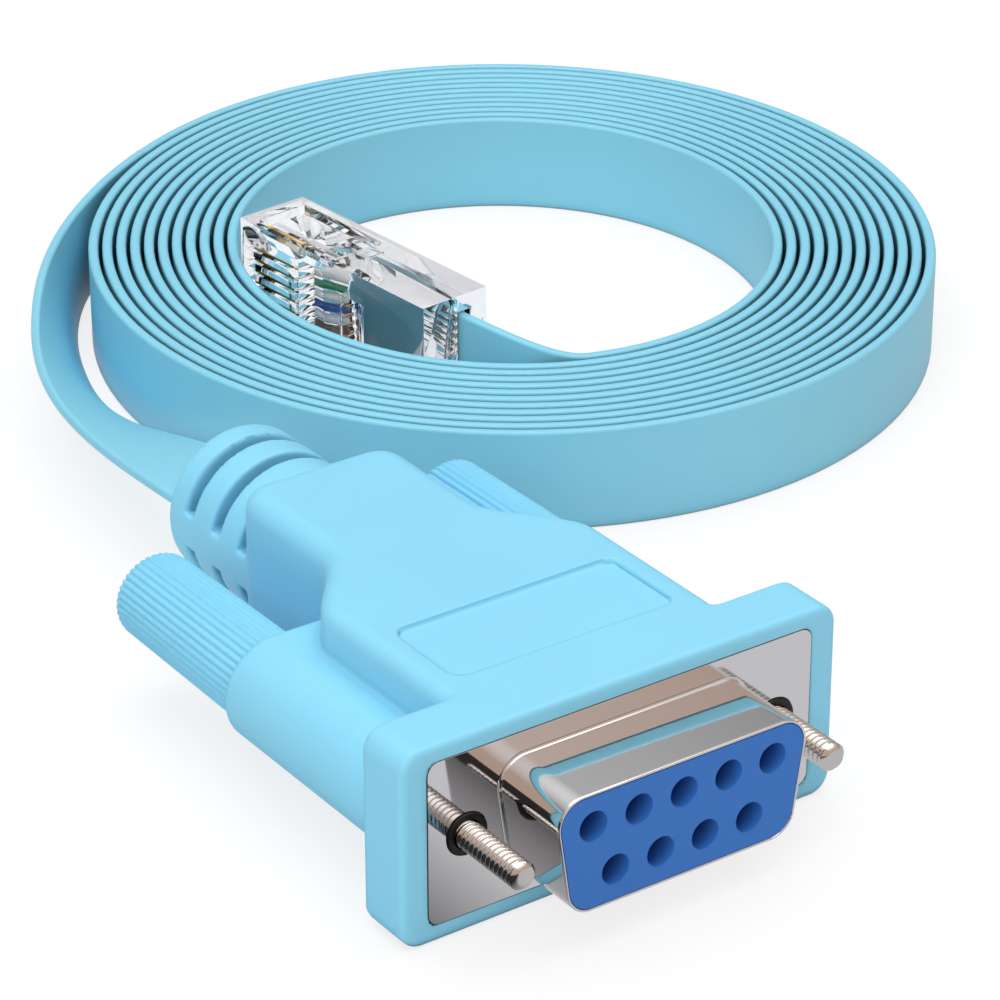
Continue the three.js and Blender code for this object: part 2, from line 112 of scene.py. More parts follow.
def linear(red: int, green: int, blue: int) -> Colour:
    """Turn a screen colour into linear light.

    Args:
        red: Red, 0 to 255.
        green: Green, 0 to 255.
        blue: Blue, 0 to 255.

    Returns:
        The colour in linear light, 0 to 1.
    """
    values = [channel / 255 for channel in (red, green, blue)]
    return tuple(v / 12.92 if v <= 0.04045 else ((v + 0.055) / 1.055) ** 2.4 for v in values)


def smoothstep(value: np.ndarray | float, start: float = 0.0, end: float = 1.0) -> np.ndarray:
    """Ease from 0 at start to 1 at end."""
    t = np.clip((np.asarray(value, dtype=float) - start) / (end - start), 0, 1)
    return t * t * (3 - 2 * t)


# Node trees


class Graph:
    """Adds nodes to one node tree and links them."""

    def __init__(self, tree: bpy.types.NodeTree) -> None:
        """Keep the tree that nodes are added to."""
        self.tree = tree

    def node(self, kind: str, inputs: dict | None = None, **settings: object) -> bpy.types.Node:
        """Add a node.

        Args:
            kind: The node's type name.
            inputs: Value or source socket for each input, by its name or number.
            **settings: Properties of the node itself.

        Returns:
            The new node.
        """
        made = self.tree.nodes.new(kind)
        for name, value in settings.items():
            setattr(made, name, value)
        for key, value in (inputs or {}).items():
            self.feed(made.inputs[key], value)
        return made

    def feed(self, socket: bpy.types.NodeSocket, value: object) -> None:
        """Link a source socket to an input, or set the input's own value."""
        if isinstance(value, bpy.types.NodeSocket):
            self.tree.links.new(value, socket)
        else:
            socket.default_value = value

    def math(self, operation: str, *values: object) -> bpy.types.NodeSocket:
        """Add a Math node and return its result."""
        return self.node("ShaderNodeMath", dict(enumerate(values)), operation=operation).outputs[0]

    def ramp(
        self, value: object, start: float, end: float, low: float = 0.0, high: float = 1.0
    ) -> bpy.types.NodeSocket:
        """Map a value's run from start to end onto low to high, held at both ends."""
        spans = {"Value": value, "From Min": start, "From Max": end, "To Min": low, "To Max": high}
        return self.node("ShaderNodeMapRange", spans).outputs[0]

    def scaled(self, vector: object, size: object) -> bpy.types.NodeSocket:
        """Scale a vector or a colour."""
        return self.node("ShaderNodeVectorMath", {0: vector, "Scale": size}, operation="SCALE").outputs["Vector"]

    def colours(self, share: object, first: object, second: object) -> bpy.types.NodeSocket:
        """Blend two colours, each a socket or four values."""
        return self.node("ShaderNodeMix", {"Factor": share, 6: first, 7: second}, data_type="RGBA").outputs[2]

    def sockets(self, inputs: dict[str, tuple[str, object]], outputs: dict[str, str]) -> bpy.types.Node:
        """Give a node group its named sockets.

        Args:
            inputs: Socket type and default value, or None, by name.
            outputs: Socket type by name.

        Returns:
            The group's input node.
        """
        for name, (kind, default) in inputs.items():
            socket = self.tree.interface.new_socket(name, in_out="INPUT", socket_type=kind)
            if default is not None:
                socket.default_value = default
        for name, kind in outputs.items():
            self.tree.interface.new_socket(name, in_out="OUTPUT", socket_type=kind)
        return self.node("NodeGroupInput")


def add_nodes(piece: bpy.types.Object, group: bpy.types.NodeTree, values: dict[str, object]) -> None:
    """Put a geometry group on a piece.

    Args:
        piece: The object that the group starts from.
        group: The geometry node group.
        values: What each named input is set to.
    """
    modifier = piece.modifiers.new(group.name, "NODES")
    modifier.node_group = group
    for item in group.interface.items_tree:
        if item.item_type == "SOCKET" and item.in_out == "INPUT" and item.name in values:
            modifier[item.identifier] = values[item.name]


def run_nodes(piece: bpy.types.Object, group: bpy.types.NodeTree, values: dict[str, object]) -> None:
    """Run a geometry group on a piece, as add_nodes does, and keep the resulting mesh."""
    add_nodes(piece, group, values)
    keep_result(piece)


def keep_result(piece: bpy.types.Object) -> None:
    """Replace a piece's mesh by what its modifiers make of it, and remove them."""
    bpy.context.view_layer.update()
    graph = bpy.context.evaluated_depsgraph_get()
    mesh = bpy.data.meshes.new_from_object(piece.evaluated_get(graph), preserve_all_data_layers=True, depsgraph=graph)
    mesh.name = piece.name
    piece.modifiers.clear()
    piece.data = mesh


def curve_mesh(holder: bpy.types.Object) -> bpy.types.Mesh:
    """Return the mesh that a curve object makes, and remove the object and its curve."""
    curve = holder.data
    bpy.context.scene.collection.objects.link(holder)
    bpy.context.view_layer.update()
    graph = bpy.context.evaluated_depsgraph_get()
    mesh = bpy.data.meshes.new_from_object(holder.evaluated_get(graph), depsgraph=graph)
    bpy.data.objects.remove(holder)
    bpy.data.curves.remove(curve)
    return mesh


# Finishes


def surface_grain_group() -> bpy.types.NodeTree:
    """Make the shared group for a moulded surface: a fine grain and a slight drift in colour and gloss.

    Returns:
        The shader group, with Color, Roughness and Normal outputs.
    """
    group = bpy.data.node_groups.get("surface_grain")
    if group:
        return group
    group = bpy.data.node_groups.new("surface_grain", "ShaderNodeTree")
    graph = Graph(group)
    source = graph.sockets(
        {
            "Color": ("NodeSocketColor", (0.5, 0.5, 0.5, 1)),
            "Roughness": ("NodeSocketFloat", 0.5),
            "Drift": ("NodeSocketFloat", 0.04),
            "Grain Size": ("NodeSocketFloat", 0.0002),
            "Grain Depth": ("NodeSocketFloat", 0.1),
        },
        {"Color": "NodeSocketColor", "Roughness": "NodeSocketFloat", "Normal": "NodeSocketVector"},
    )
    place = graph.node("ShaderNodeTexCoord").outputs["Object"]
    cloud = graph.node("ShaderNodeTexNoise", {"Vector": place, "Scale": 90.0, "Detail": 3.0})
    swing = graph.math("SUBTRACT", cloud.outputs["Fac"], 0.5)
    gain = graph.math("ADD", graph.math("MULTIPLY", swing, graph.math("MULTIPLY", source.outputs["Drift"], 2.0)), 1.0)
    tint = graph.scaled(source.outputs["Color"], gain)
    gloss = graph.math("ADD", source.outputs["Roughness"], graph.math("MULTIPLY", swing, 0.12))
    scale = graph.math("DIVIDE", 1.0, source.outputs["Grain Size"])
    grain = graph.node("ShaderNodeTexNoise", {"Vector": place, "Scale": scale, "Detail": 2.0})
    bump = graph.node(
        "ShaderNodeBump",
        {"Strength": source.outputs["Grain Depth"], "Distance": 0.00002, "Height": grain.outputs["Fac"]},
    )
    graph.node("NodeGroupOutput", {"Color": tint, "Roughness": gloss, "Normal": bump.outputs["Normal"]})
    return group


@dataclass(frozen=True)
class Finish:
    """A plain finish, and the base of the others.

    Attributes:
        name: Material name, in plain words.
        slot: The record's material slot for this finish; not used.
        colour: Base colour in linear light.
        roughness: Surface roughness, 0 to 1.
    """

    name: str
    slot: str
    colour: Colour
    roughness: float = 0.5

    def material(self) -> bpy.types.Material:
        """Return the material, made the first time that it is asked for."""
        found = bpy.data.materials.get(self.name)
        if found:
            return found
        made = bpy.data.materials.new(self.name)
        made.use_nodes = True
        made.diffuse_color = (*self.colour, 1)
        graph = Graph(made.node_tree)
        shader = made.node_tree.nodes["Principled BSDF"]
        shader.inputs["Base Color"].default_value = (*self.colour, 1)
        shader.inputs["Roughness"].default_value = self.roughness
        self.dress(graph, shader)
        return made

    def dress(self, graph: Graph, shader: bpy.types.Node) -> None:
        """Add what this finish has beyond its colour and roughness."""


@dataclass(frozen=True)
class Moulded(Finish):
    """Moulded plastic or rubber with a fine grain, and painted shade in its slots and gaps.

    Attributes:
        drift: How far the colour wanders across the moulding, as a share of itself.
        grain_size: Size of the grain, in metres.
        grain_depth: Strength of the grain's bump.
        sheen_level: Specular level of the surface.
        crevice_shade: Share of its colour that is left deep in slots and gaps, where shade is painted into the colour.
        crevice_shade_reach: How wide a gap still gets painted shade, in metres.
        crevice_shade_open: How open a place is where the painted shade is darkest, and where the painted shade ends.
    """

    drift: float = 0.03
    grain_size: float = 0.00025
    grain_depth: float = 0.12
    sheen_level: float = 0.4
    crevice_shade: float = 0.3
    crevice_shade_reach: float = 0.0016
    crevice_shade_open: tuple[float, float] = (0.08, 0.7)

    def dress(self, graph: Graph, shader: bpy.types.Node) -> None:
        """Wire the shared grain into the shader, and paint shade into slots and gaps by darkening the colour where
        ambient occlusion finds them.
        """
        grain = graph.node("ShaderNodeGroup", node_tree=surface_grain_group())
        for name, value in {
            "Color": (*self.colour, 1),
            "Roughness": self.roughness,
            "Drift": self.drift,
            "Grain Size": self.grain_size,
            "Grain Depth": self.grain_depth,
        }.items():
            grain.inputs[name].default_value = value
        # Painted shade: the base colour is darkened where ambient occlusion finds slots and gaps.
        openness = graph.node("ShaderNodeAmbientOcclusion", {"Distance": self.crevice_shade_reach}, samples=8).outputs["AO"]
        shade = graph.ramp(openness, *self.crevice_shade_open, low=self.crevice_shade)
        graph.feed(shader.inputs["Base Color"], graph.scaled(grain.outputs["Color"], shade))
        graph.feed(shader.inputs["Roughness"], grain.outputs["Roughness"])
        graph.feed(shader.inputs["Normal"], grain.outputs["Normal"])
        shader.inputs["Specular IOR Level"].default_value = self.sheen_level


@dataclass(frozen=True)
class Plated(Finish):
    """Bright plated metal with faint handling marks in its gloss.

    Attributes:
        wear: How much the gloss varies.
    """

    wear: float = 0.05

    def dress(self, graph: Graph, shader: bpy.types.Node) -> None:
        """Make the surface metal, with gloss that varies a little."""
        shader.inputs["Metallic"].default_value = 1.0
        place = graph.node("ShaderNodeTexCoord").outputs["Object"]
        marks = graph.node("ShaderNodeTexNoise", {"Vector": place, "Scale": 260.0, "Detail": 5.0, "Distortion": 0.4})
        swing = graph.math("MULTIPLY", graph.math("SUBTRACT", marks.outputs["Fac"], 0.4), self.wear)
        graph.feed(shader.inputs["Roughness"], graph.math("MAXIMUM", graph.math("ADD", swing, self.roughness), 0.02))


@dataclass(frozen=True)
class Clear(Finish):
    """Clear polished plastic."""

    def dress(self, graph: Graph, shader: bpy.types.Node) -> None:
        """Let light through, with a gloss that drifts a little where the plastic flowed."""
        shader.inputs["Transmission Weight"].default_value = 1.0
        shader.inputs["IOR"].default_value = 1.49
        place = graph.node("ShaderNodeTexCoord").outputs["Object"]
        flow = graph.node("ShaderNodeTexNoise", {"Vector": place, "Scale": 420.0, "Detail": 1.0})
        graph.feed(shader.inputs["Roughness"], graph.math("MULTIPLY", flow.outputs["Fac"], 0.03))


def ray_kinds(graph: Graph) -> tuple[bpy.types.NodeSocket, bpy.types.NodeSocket]:
    """Tell the kinds of ray apart.

    Args:
        graph: The shader's graph.

    Returns:
        Sockets that are one for a ray seen straight or through clear plastic, and for a reflection.
    """
    path = graph.node("ShaderNodeLightPath").outputs
    straight = graph.math("MAXIMUM", path["Is Camera Ray"], path["Is Transmission Ray"])
    mirrored = graph.math("MAXIMUM", graph.math("SUBTRACT", path["Is Glossy Ray"], path["Is Transmission Ray"]), 0.0)
    return straight, mirrored


@dataclass(frozen=True)
class FloorPaper(Finish):
    """Pale paper for the floor, which bright metal sees as the studio round the paper.

    Attributes:
        studio: Colour of the studio's lit side in linear light.
        unlit: Colour of its side without a lamp, left of the connector.
        lit_from: Where the unlit side ends and where the lit side begins, across, in metres.
        white_level: Brightness of plain white paper.
        lift: How far the paper's own shadows are lifted towards white.
    """

    studio: Colour = (0.68, 0.68, 0.71)
    unlit: Colour = (0.035, 0.033, 0.031)
    lit_from: tuple[float, float] = (-0.018, -0.006)
    white_level: float = 1.02
    lift: float = 0.75

    def dress(self, graph: Graph, shader: bpy.types.Node) -> None:
        """Show the studio to reflections, and the paper to everything else."""
        straight, mirrored = ray_kinds(graph)
        white = graph.node("ShaderNodeEmission", {"Color": (1.0, 1.0, 1.0, 1), "Strength": self.white_level})
        lift = graph.math("MULTIPLY", straight, self.lift)
        paper = graph.node("ShaderNodeMixShader", {0: lift, 1: shader.outputs[0], 2: white.outputs[0]})
        place = graph.node("ShaderNodeSeparateXYZ", {0: graph.node("ShaderNodeNewGeometry").outputs["Position"]})
        lit = graph.ramp(place.outputs["X"], *self.lit_from)
        shade = graph.colours(lit, (*self.unlit, 1), (*self.studio, 1))
        studio = graph.node("ShaderNodeEmission", {"Color": shade, "Strength": 1.0})
        mixed = graph.node("ShaderNodeMixShader", {0: mirrored, 1: paper.outputs[0], 2: studio.outputs[0]})
        graph.feed(graph.tree.nodes["Material Output"].inputs["Surface"], mixed.outputs[0])


# Every moulded finish below darkens its colour in slots and gaps: painted shade.
SKY_MOULDING = Moulded("sky_moulding", "sky_plastic", linear(136, 212, 242), 0.5)
GRIP_MOULDING = Moulded("grip_moulding", "sky_plastic", linear(130, 208, 240), 0.48, grain_depth=0.08)
CABLE_JACKET = Moulded("cable_jacket", "flat_cable", linear(134, 207, 231), 0.4, grain_size=0.0005, grain_depth=0.06)
BLUE_INSERT = Moulded("satin_insert", "blue_insert", linear(58, 116, 196), 0.5, sheen_level=0.15, grain_depth=0.05)
BLACK_RUBBER = Moulded("dull_ring", "black_rubber", linear(14, 14, 16), 0.45, grain_depth=0.05)
BRIGHT_PLATE = Plated("bright_plate", "shell_plate", linear(226, 224, 224), 0.05)
SCREW_PLATE = Plated("screw_plate", "screw_steel", linear(214, 210, 206), 0.14)
GOLD_PLATE = Plated("gold_plate", "gold_contact", linear(222, 184, 104), 0.18)
CLEAR_PLASTIC = Clear("polished_clear", "clear_plastic", (0.97, 0.98, 1.0), 0.02)


# Meshes


def new_piece(name: str, points: np.ndarray, faces: Sequence[Sequence[int]], finish: Finish) -> bpy.types.Object:
    """Make a mesh object at the origin, with its place in its mesh.

    Args:
        name: The piece's name.
        points: Corner points in millimetres from the connector's datum.
        faces: Corner numbers of each face, seen anticlockwise from outside.
        finish: The finish of the whole piece.

    Returns:
        The linked object.
    """
    mesh = bpy.data.meshes.new(name)
    mesh.from_pydata(part_frame(points).tolist(), [], [list(map(int, face)) for face in faces])
    mesh.validate()
    mesh.materials.append(finish.material())
    piece = bpy.data.objects.new(name, mesh)
    bpy.context.scene.collection.objects.link(piece)
    return piece


def smooth(piece: bpy.types.Object, degrees: float = 40.0) -> bpy.types.Object:
    """Shade a piece smooth up to an angle between faces, and return it."""
    piece.data.polygons.foreach_set("use_smooth", [True] * len(piece.data.polygons))
    piece.data.set_sharp_from_angle(angle=math.radians(degrees))
    return piece


def settle(piece: bpy.types.Object, body: Body, finish: Finish, *nodes: str) -> bpy.types.Object:
    """Attach a piece to the body that it rides on, hide the CAD nodes that it replaces and log it.

    Args:
        piece: The finished piece.
        body: The body that it moves with.
        finish: The piece's finish; not used.
        *nodes: The CAD nodes that it replaces.

    Returns:
        The piece.
    """
    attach(piece, body.value)
    if nodes:
        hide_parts(*nodes)
    log.info("%s: %d faces, rides on %s", piece.name, len(piece.data.polygons), body.value)
    return piece


def turned(
    profile: Sequence[tuple[float, float]], steps: int, x: float = 0.0, z: float = 0.0
) -> tuple[np.ndarray, list[list[int]]]:
    """Turn a profile about an axis that runs back from the mating face.

    Args:
        profile: Radius and depth of each point. A radius of 0 closes an end.
        steps: Points round the axis.
        x: The axis's place across.
        z: The axis's height.

    Returns:
        Points and faces.
    """
    points: list[tuple[float, float, float]] = []
    rows: list[list[int]] = []
    for radius, depth in profile:
        if radius == 0:
            rows.append([len(points)] * steps)
            points.append((x, depth, z))
            continue
        rows.append(list(range(len(points), len(points) + steps)))
        for k in range(steps):
            turn = 2 * math.pi * k / steps
            points.append((x + radius * math.cos(turn), depth, z + radius * math.sin(turn)))
    faces = []
    for here, there in zip(rows, rows[1:]):
        for k in range(steps):
            n = (k + 1) % steps
            corners = [here[k], there[k], there[n], here[n]]
            faces.append([c for i, c in enumerate(corners) if c not in corners[:i]])
    return np.array(points), faces


def arc(centre: tuple[float, float], radius: float, start: float, end: float, steps: int) -> list[tuple[float, float]]:
    """Points on an arc, with angles in degrees."""
    angles = np.radians(np.linspace(start, end, steps + 1))
    return [(centre[0] + radius * math.cos(a), centre[1] + radius * math.sin(a)) for a in angles]


def rounded_outline(corners: Sequence[tuple[float, float]], radius: float, steps: int = 8) -> np.ndarray:
    """Round the corners of a convex outline.

    Args:
        corners: Corners, anticlockwise.
        radius: Corner radius.
        steps: Steps on each corner.

    Returns:
        The outline's points.
    """
    points = []
    for i, corner in enumerate(corners):
        at = Vector(corner)
        into = (Vector(corners[i - 1]) - at).normalized()
        out = (Vector(corners[(i + 1) % len(corners)]) - at).normalized()
        half = into.angle(out) / 2
        middle = at + (into + out).normalized() * (radius / math.sin(half))
        first = at + into * (radius / math.tan(half)) - middle
        start = math.degrees(math.atan2(first.y, first.x))
        points += arc((middle.x, middle.y), radius, start, start + 180 - 2 * math.degrees(half), steps)
    return np.array(points)


def rectangle(width: float, height: float, radius: float, middle: tuple[float, float] = (0, 0)) -> np.ndarray:
    """A rectangle with rounded corners."""
    x, z, w, h = *middle, width / 2, height / 2
    return rounded_outline([(x - w, z - h), (x + w, z - h), (x + w, z + h), (x - w, z + h)], radius)


def circle(radius: float, x: float, z: float, steps: int = 40) -> np.ndarray:
    """A circle as an outline."""
    return np.array(arc((x, z), radius, 0, 360, steps)[:-1])


def cut_plate(loops: Sequence[np.ndarray], front: float, back: float, bevel: float) -> tuple[np.ndarray, list]:
    """Make a flat plate across the connector, with holes and a small bevel.

    Args:
        loops: The outline, then the holes, as (across, up) points.
        front: Depth of the front face.
        back: Depth of the back face.
        bevel: Size of the bevel on every edge.

    Returns:
        Points and faces.
    """
    curve = bpy.data.curves.new("plate_outline", "CURVE")
    curve.dimensions = "2D"
    curve.fill_mode = "BOTH"
    curve.extrude = (back - front) / 2 - bevel
    curve.bevel_depth = bevel
    curve.bevel_resolution = 1
    curve.offset = -bevel
    for loop in loops:
        spline = curve.splines.new("POLY")
        spline.points.add(len(loop) - 1)
        spline.use_cyclic_u = True
        for point, (x, z) in zip(spline.points, loop):
            point.co = (x, z, 0, 1)
    mesh = curve_mesh(bpy.data.objects.new("plate_outline", curve))
    work = bmesh.new()
    work.from_mesh(mesh)
    bmesh.ops.remove_doubles(work, verts=work.verts, dist=1e-4)
    bmesh.ops.recalc_face_normals(work, faces=work.faces)
    middle = (front + back) / 2
    points = np.array([(v.co.x, middle - v.co.z, v.co.y) for v in work.verts])
    faces = [[v.index for v in face.verts] for face in work.faces]
    work.free()
    bpy.data.meshes.remove(mesh)
    return points, faces


def joined(parts: Sequence[tuple[np.ndarray, Sequence]]) -> tuple[np.ndarray, list]:
    """Put several sets of points and faces into one."""
    points, faces, count = [], [], 0
    for some_points, some_faces in parts:
        points.append(np.asarray(some_points))
        faces += [[c + count for c in face] for face in some_faces]
        count += len(some_points)
    return np.concatenate(points), faces


# Blended solids


def blend_in(a: np.ndarray, b: np.ndarray, reach: float) -> np.ndarray:
    """Join two distance fields with a fillet of about the given reach."""
    share = np.clip(0.5 + 0.5 * (b - a) / reach, 0, 1)
    return b + (a - b) * share - reach * share * (1 - share)


def cut_out(a: np.ndarray, b: np.ndarray, reach: float) -> np.ndarray:
    """Take b out of a, and round the edge that it leaves."""
    return -blend_in(-a, b, reach)


def slab(across: np.ndarray, along: np.ndarray, soft: float) -> np.ndarray:
    """Bound a drawn shape along the third direction, with its rim rounded.

    Args:
        across: Distance to the drawn shape, in its own plane.
        along: Distance to the slab's two ends.
        soft: Radius of the rim.

    Returns:
        Distance to the solid.
    """
    a, b = across + soft, along + soft
    return np.minimum(np.maximum(a, b), 0) + np.hypot(np.maximum(a, 0), np.maximum(b, 0)) - soft


def box_distance(u: np.ndarray, v: np.ndarray, half_u: float, half_v: float, radius: float) -> np.ndarray:
    """Distance to a rectangle with rounded corners, in its own plane."""
    a, b = np.abs(u) - half_u + radius, np.abs(v) - half_v + radius
    return np.minimum(np.maximum(a, b), 0) + np.hypot(np.maximum(a, 0), np.maximum(b, 0)) - radius


def surface_net(
    field: Field, low: Sequence[float], high: Sequence[float], step: float
) -> tuple[np.ndarray, np.ndarray]:
    """Skin a distance field with quads.

    Args:
        field: Signed distance of each point, in millimetres, negative inside.
        low: Lowest corner of the space that holds the solid.
        high: Highest corner.
        step: Grid step.

    Returns:
        Points on the surface, and quads that face out.
    """
    low = np.asarray(low, dtype=float)
    counts = np.ceil((np.asarray(high) - low) / step).astype(int) + 1
    axes = [low[i] + step * np.arange(counts[i]) for i in range(3)]
    value = np.empty(counts)
    for i, x in enumerate(axes[0]):
        sheet = np.stack(np.meshgrid([x], axes[1], axes[2], indexing="ij"), axis=-1).reshape(-1, 3)
        value[i] = field(sheet).reshape(counts[1:])
    inside = value < 0
    corners = np.array([(i, j, k) for i in (0, 1) for j in (0, 1) for k in (0, 1)])
    last = counts - 1
    total = sum(
        inside[i : last[0] + i, j : last[1] + j, k : last[2] + k].astype(np.int8) for i, j, k in corners
    )
    active = (total > 0) & (total < 8)
    number = np.full(active.shape, -1)
    number[active] = np.arange(active.sum())
    cells = np.argwhere(active)
    at = cells[:, None, :] + corners
    held = value[at[..., 0], at[..., 1], at[..., 2]]
    offset, hits = np.zeros((len(cells), 3)), np.zeros(len(cells))
    for a in range(8):
        for b in range(a + 1, 8):
            if np.abs(corners[a] - corners[b]).sum() != 1:
                continue
            cross = (held[:, a] < 0) != (held[:, b] < 0)
            share = np.where(cross, held[:, a] / np.where(cross, held[:, a] - held[:, b], 1), 0)
            offset += np.where(cross[:, None], corners[a] + share[:, None] * (corners[b] - corners[a]), 0)
            hits += cross
    points = low + step * (cells + offset / hits[:, None])
    quads = []
    for axis in range(3):
        here = np.take(inside, range(counts[axis] - 1), axis)
        there = np.take(inside, range(1, counts[axis]), axis)
        edges = np.argwhere(here != there)
        second, third = (axis + 1) % 3, (axis + 2) % 3
        around = []
        for back_second, back_third in ((1, 1), (0, 1), (0, 0), (1, 0)):
            cell = edges.copy()
            cell[:, second] -= back_second
            cell[:, third] -= back_third
            around.append(number[cell[:, 0], cell[:, 1], cell[:, 2]])
        quad = np.stack(around, axis=1)
        inward = ~here[edges[:, 0], edges[:, 1], edges[:, 2]]
        quad[inward] = quad[inward][:, ::-1]
        quads.append(quad)
    for _ in range(3):
        slope = gradient(field, points)
        points -= np.clip(field(points), -step, step)[:, None] * slope / np.maximum((slope**2).sum(1), 0.2)[:, None]
    return points, np.concatenate(quads)


def gradient(field: Field, points: np.ndarray, reach: float = 0.02) -> np.ndarray:
    """Slope of a distance field at each point."""
    steps = np.eye(3) * reach
    return np.stack([(field(points + s) - field(points - s)) / (2 * reach) for s in steps], axis=1)


# Connector


@dataclass
class DShell:
    """The plated D-shaped shell with its flange, the insulator and its contacts."""

    top_width: float = 20.5
    bottom_width: float = 17.9
    height: float = 8.8
    corner: float = 1.95
    wall: float = 0.2
    flange_width: float = 30.99
    flange_height: float = 12.14
    flange_corner: float = 0.9
    flange_depth: float = 6.48
    flange_thickness: float = 0.7
    skirt_lining: float = 4.0
    fillet: float = 0.2
    fillet_margin: float = 0.12
    hole_radius: float = 1.57
    contact_pitch: float = 3.6
    row_spacing: float = 3.85
    bore_radius: float = 1.08
    bore_depth: float = 9.5
    insulator_length: float = 12.0
    sleeve_radius: float = 0.76
    sleeve_wall: float = 0.24
    sleeve_front: float = 3.0

    def outline(self, inset: float) -> np.ndarray:
        """The D outline, drawn in by an inset."""
        slope = (self.top_width - self.bottom_width) / 2 / self.height
        half = self.height / 2 - inset
        middle = (self.top_width + self.bottom_width) / 4 - inset * math.hypot(1, slope)
        top, bottom = middle + slope * half, middle - slope * half
        return rounded_outline([(-bottom, -half), (bottom, -half), (top, half), (-top, half)], self.corner - inset, 12)

    def skirt(self) -> tuple[np.ndarray, list]:
        """Points and faces of the drawn skirt, from inside its rim out to the fillet at the flange."""
        rim = self.wall / 2
        profile = [(self.wall, self.skirt_lining)]
        profile += [(rim + x, rim + y) for x, y in arc((0, 0), rim, 0, -180, 8)]
        foot = self.flange_depth - self.fillet
        profile += [(0.0, rim + self.fillet_margin), (0.0, foot - self.fillet_margin)]
        profile += arc((-self.fillet, foot), self.fillet, 0, 90, 8)
        rings = [[(x, depth, z) for x, z in self.outline(inset)] for inset, depth in profile]
        count = len(rings[0])
        faces = []
        for i in range(len(rings) - 1):
            for k in range(count):
                n = (k + 1) % count
                faces.append([i * count + k, i * count + n, (i + 1) * count + n, (i + 1) * count + k])
        return np.concatenate([np.array(r) for r in rings]), faces

    def build_shell(self) -> bpy.types.Object:
        """Make the shell: the skirt and the flange plate with its two holes."""
        holes = [circle(self.hole_radius, side.x, 0) for side in Side]
        plate = rectangle(self.flange_width, self.flange_height, self.flange_corner)
        front, back = self.flange_depth, self.flange_depth + self.flange_thickness
        flange = cut_plate([plate, self.outline(-self.fillet), *holes], front, back, 0.03)
        piece = new_piece("d_shell", *joined([self.skirt(), flange]), BRIGHT_PLATE)
        return smooth(piece, 15)

    def contact_places(self) -> list[tuple[float, float]]:
        """Across and up of each bore: five above, four below."""
        return [
            ((i - (count - 1) / 2) * self.contact_pitch, sign * self.row_spacing / 2)
            for count, sign in ((5, 1), (4, -1))
            for i in range(count)
        ]

    def build_insulator(self) -> bpy.types.Object:
        """Make the insulator: the bored block, closed behind the bores."""
        edge = self.outline(self.wall + 0.01)
        bores = [circle(self.bore_radius, x, z, 48) for x, z in self.contact_places()]
        bored = cut_plate([edge, *bores], 0.0, self.bore_depth, 0.1)
        closed = cut_plate([edge], self.bore_depth - 0.05, self.insulator_length, 0.02)
        return smooth(new_piece("contact_insert", *joined([bored, closed]), BLUE_INSERT), 15)

    def build_contacts(self, row: bpy.types.NodeTree) -> list[bpy.types.Object]:
        """Make both rows of contact sleeves.

        Args:
            row: The shared geometry group that repeats one part in a row.

        Returns:
            The upper and the lower row.
        """
        inner = self.sleeve_radius - self.sleeve_wall
        lip = 0.08
        profile = [
            (inner, self.bore_depth - 0.1),
            (inner, self.sleeve_front + 3 * lip),
            (inner + lip, self.sleeve_front + lip),
            (self.sleeve_radius - lip, self.sleeve_front),
            (self.sleeve_radius, self.sleeve_front + lip),
            (self.sleeve_radius, self.bore_depth - 0.1),
            (inner, self.bore_depth - 0.1),
        ]
        rows = []
        for name, count, sign in (("upper_contacts", 5, 1), ("lower_contacts", 4, -1)):
            start = (-(count - 1) / 2 * self.contact_pitch, sign * self.row_spacing / 2)
            piece = new_piece(name, *turned(profile, 24, *start), GOLD_PLATE)
            step = (self.contact_pitch * MM, 0.0, 0.0)
            run_nodes(piece, row, {"Count": count, "Step": step, "Finish": GOLD_PLATE.material()})
            rows.append(smooth(piece))
        return rows

    def dress(self, row: bpy.types.NodeTree) -> None:
        """Build the shell, the insulator and the contacts, and settle them."""
        settle(self.build_shell(), Body.CABLE, BRIGHT_PLATE, "connector_shell")
        settle(self.build_insulator(), Body.CABLE, BLUE_INSERT, "insulator")
        upper, lower = self.build_contacts(row)
        settle(upper, Body.CABLE, GOLD_PLATE, *[f"socket_contact_{i}" for i in range(1, 6)])
        settle(lower, Body.CABLE, GOLD_PLATE, *[f"socket_contact_{i}" for i in range(6, 10)])


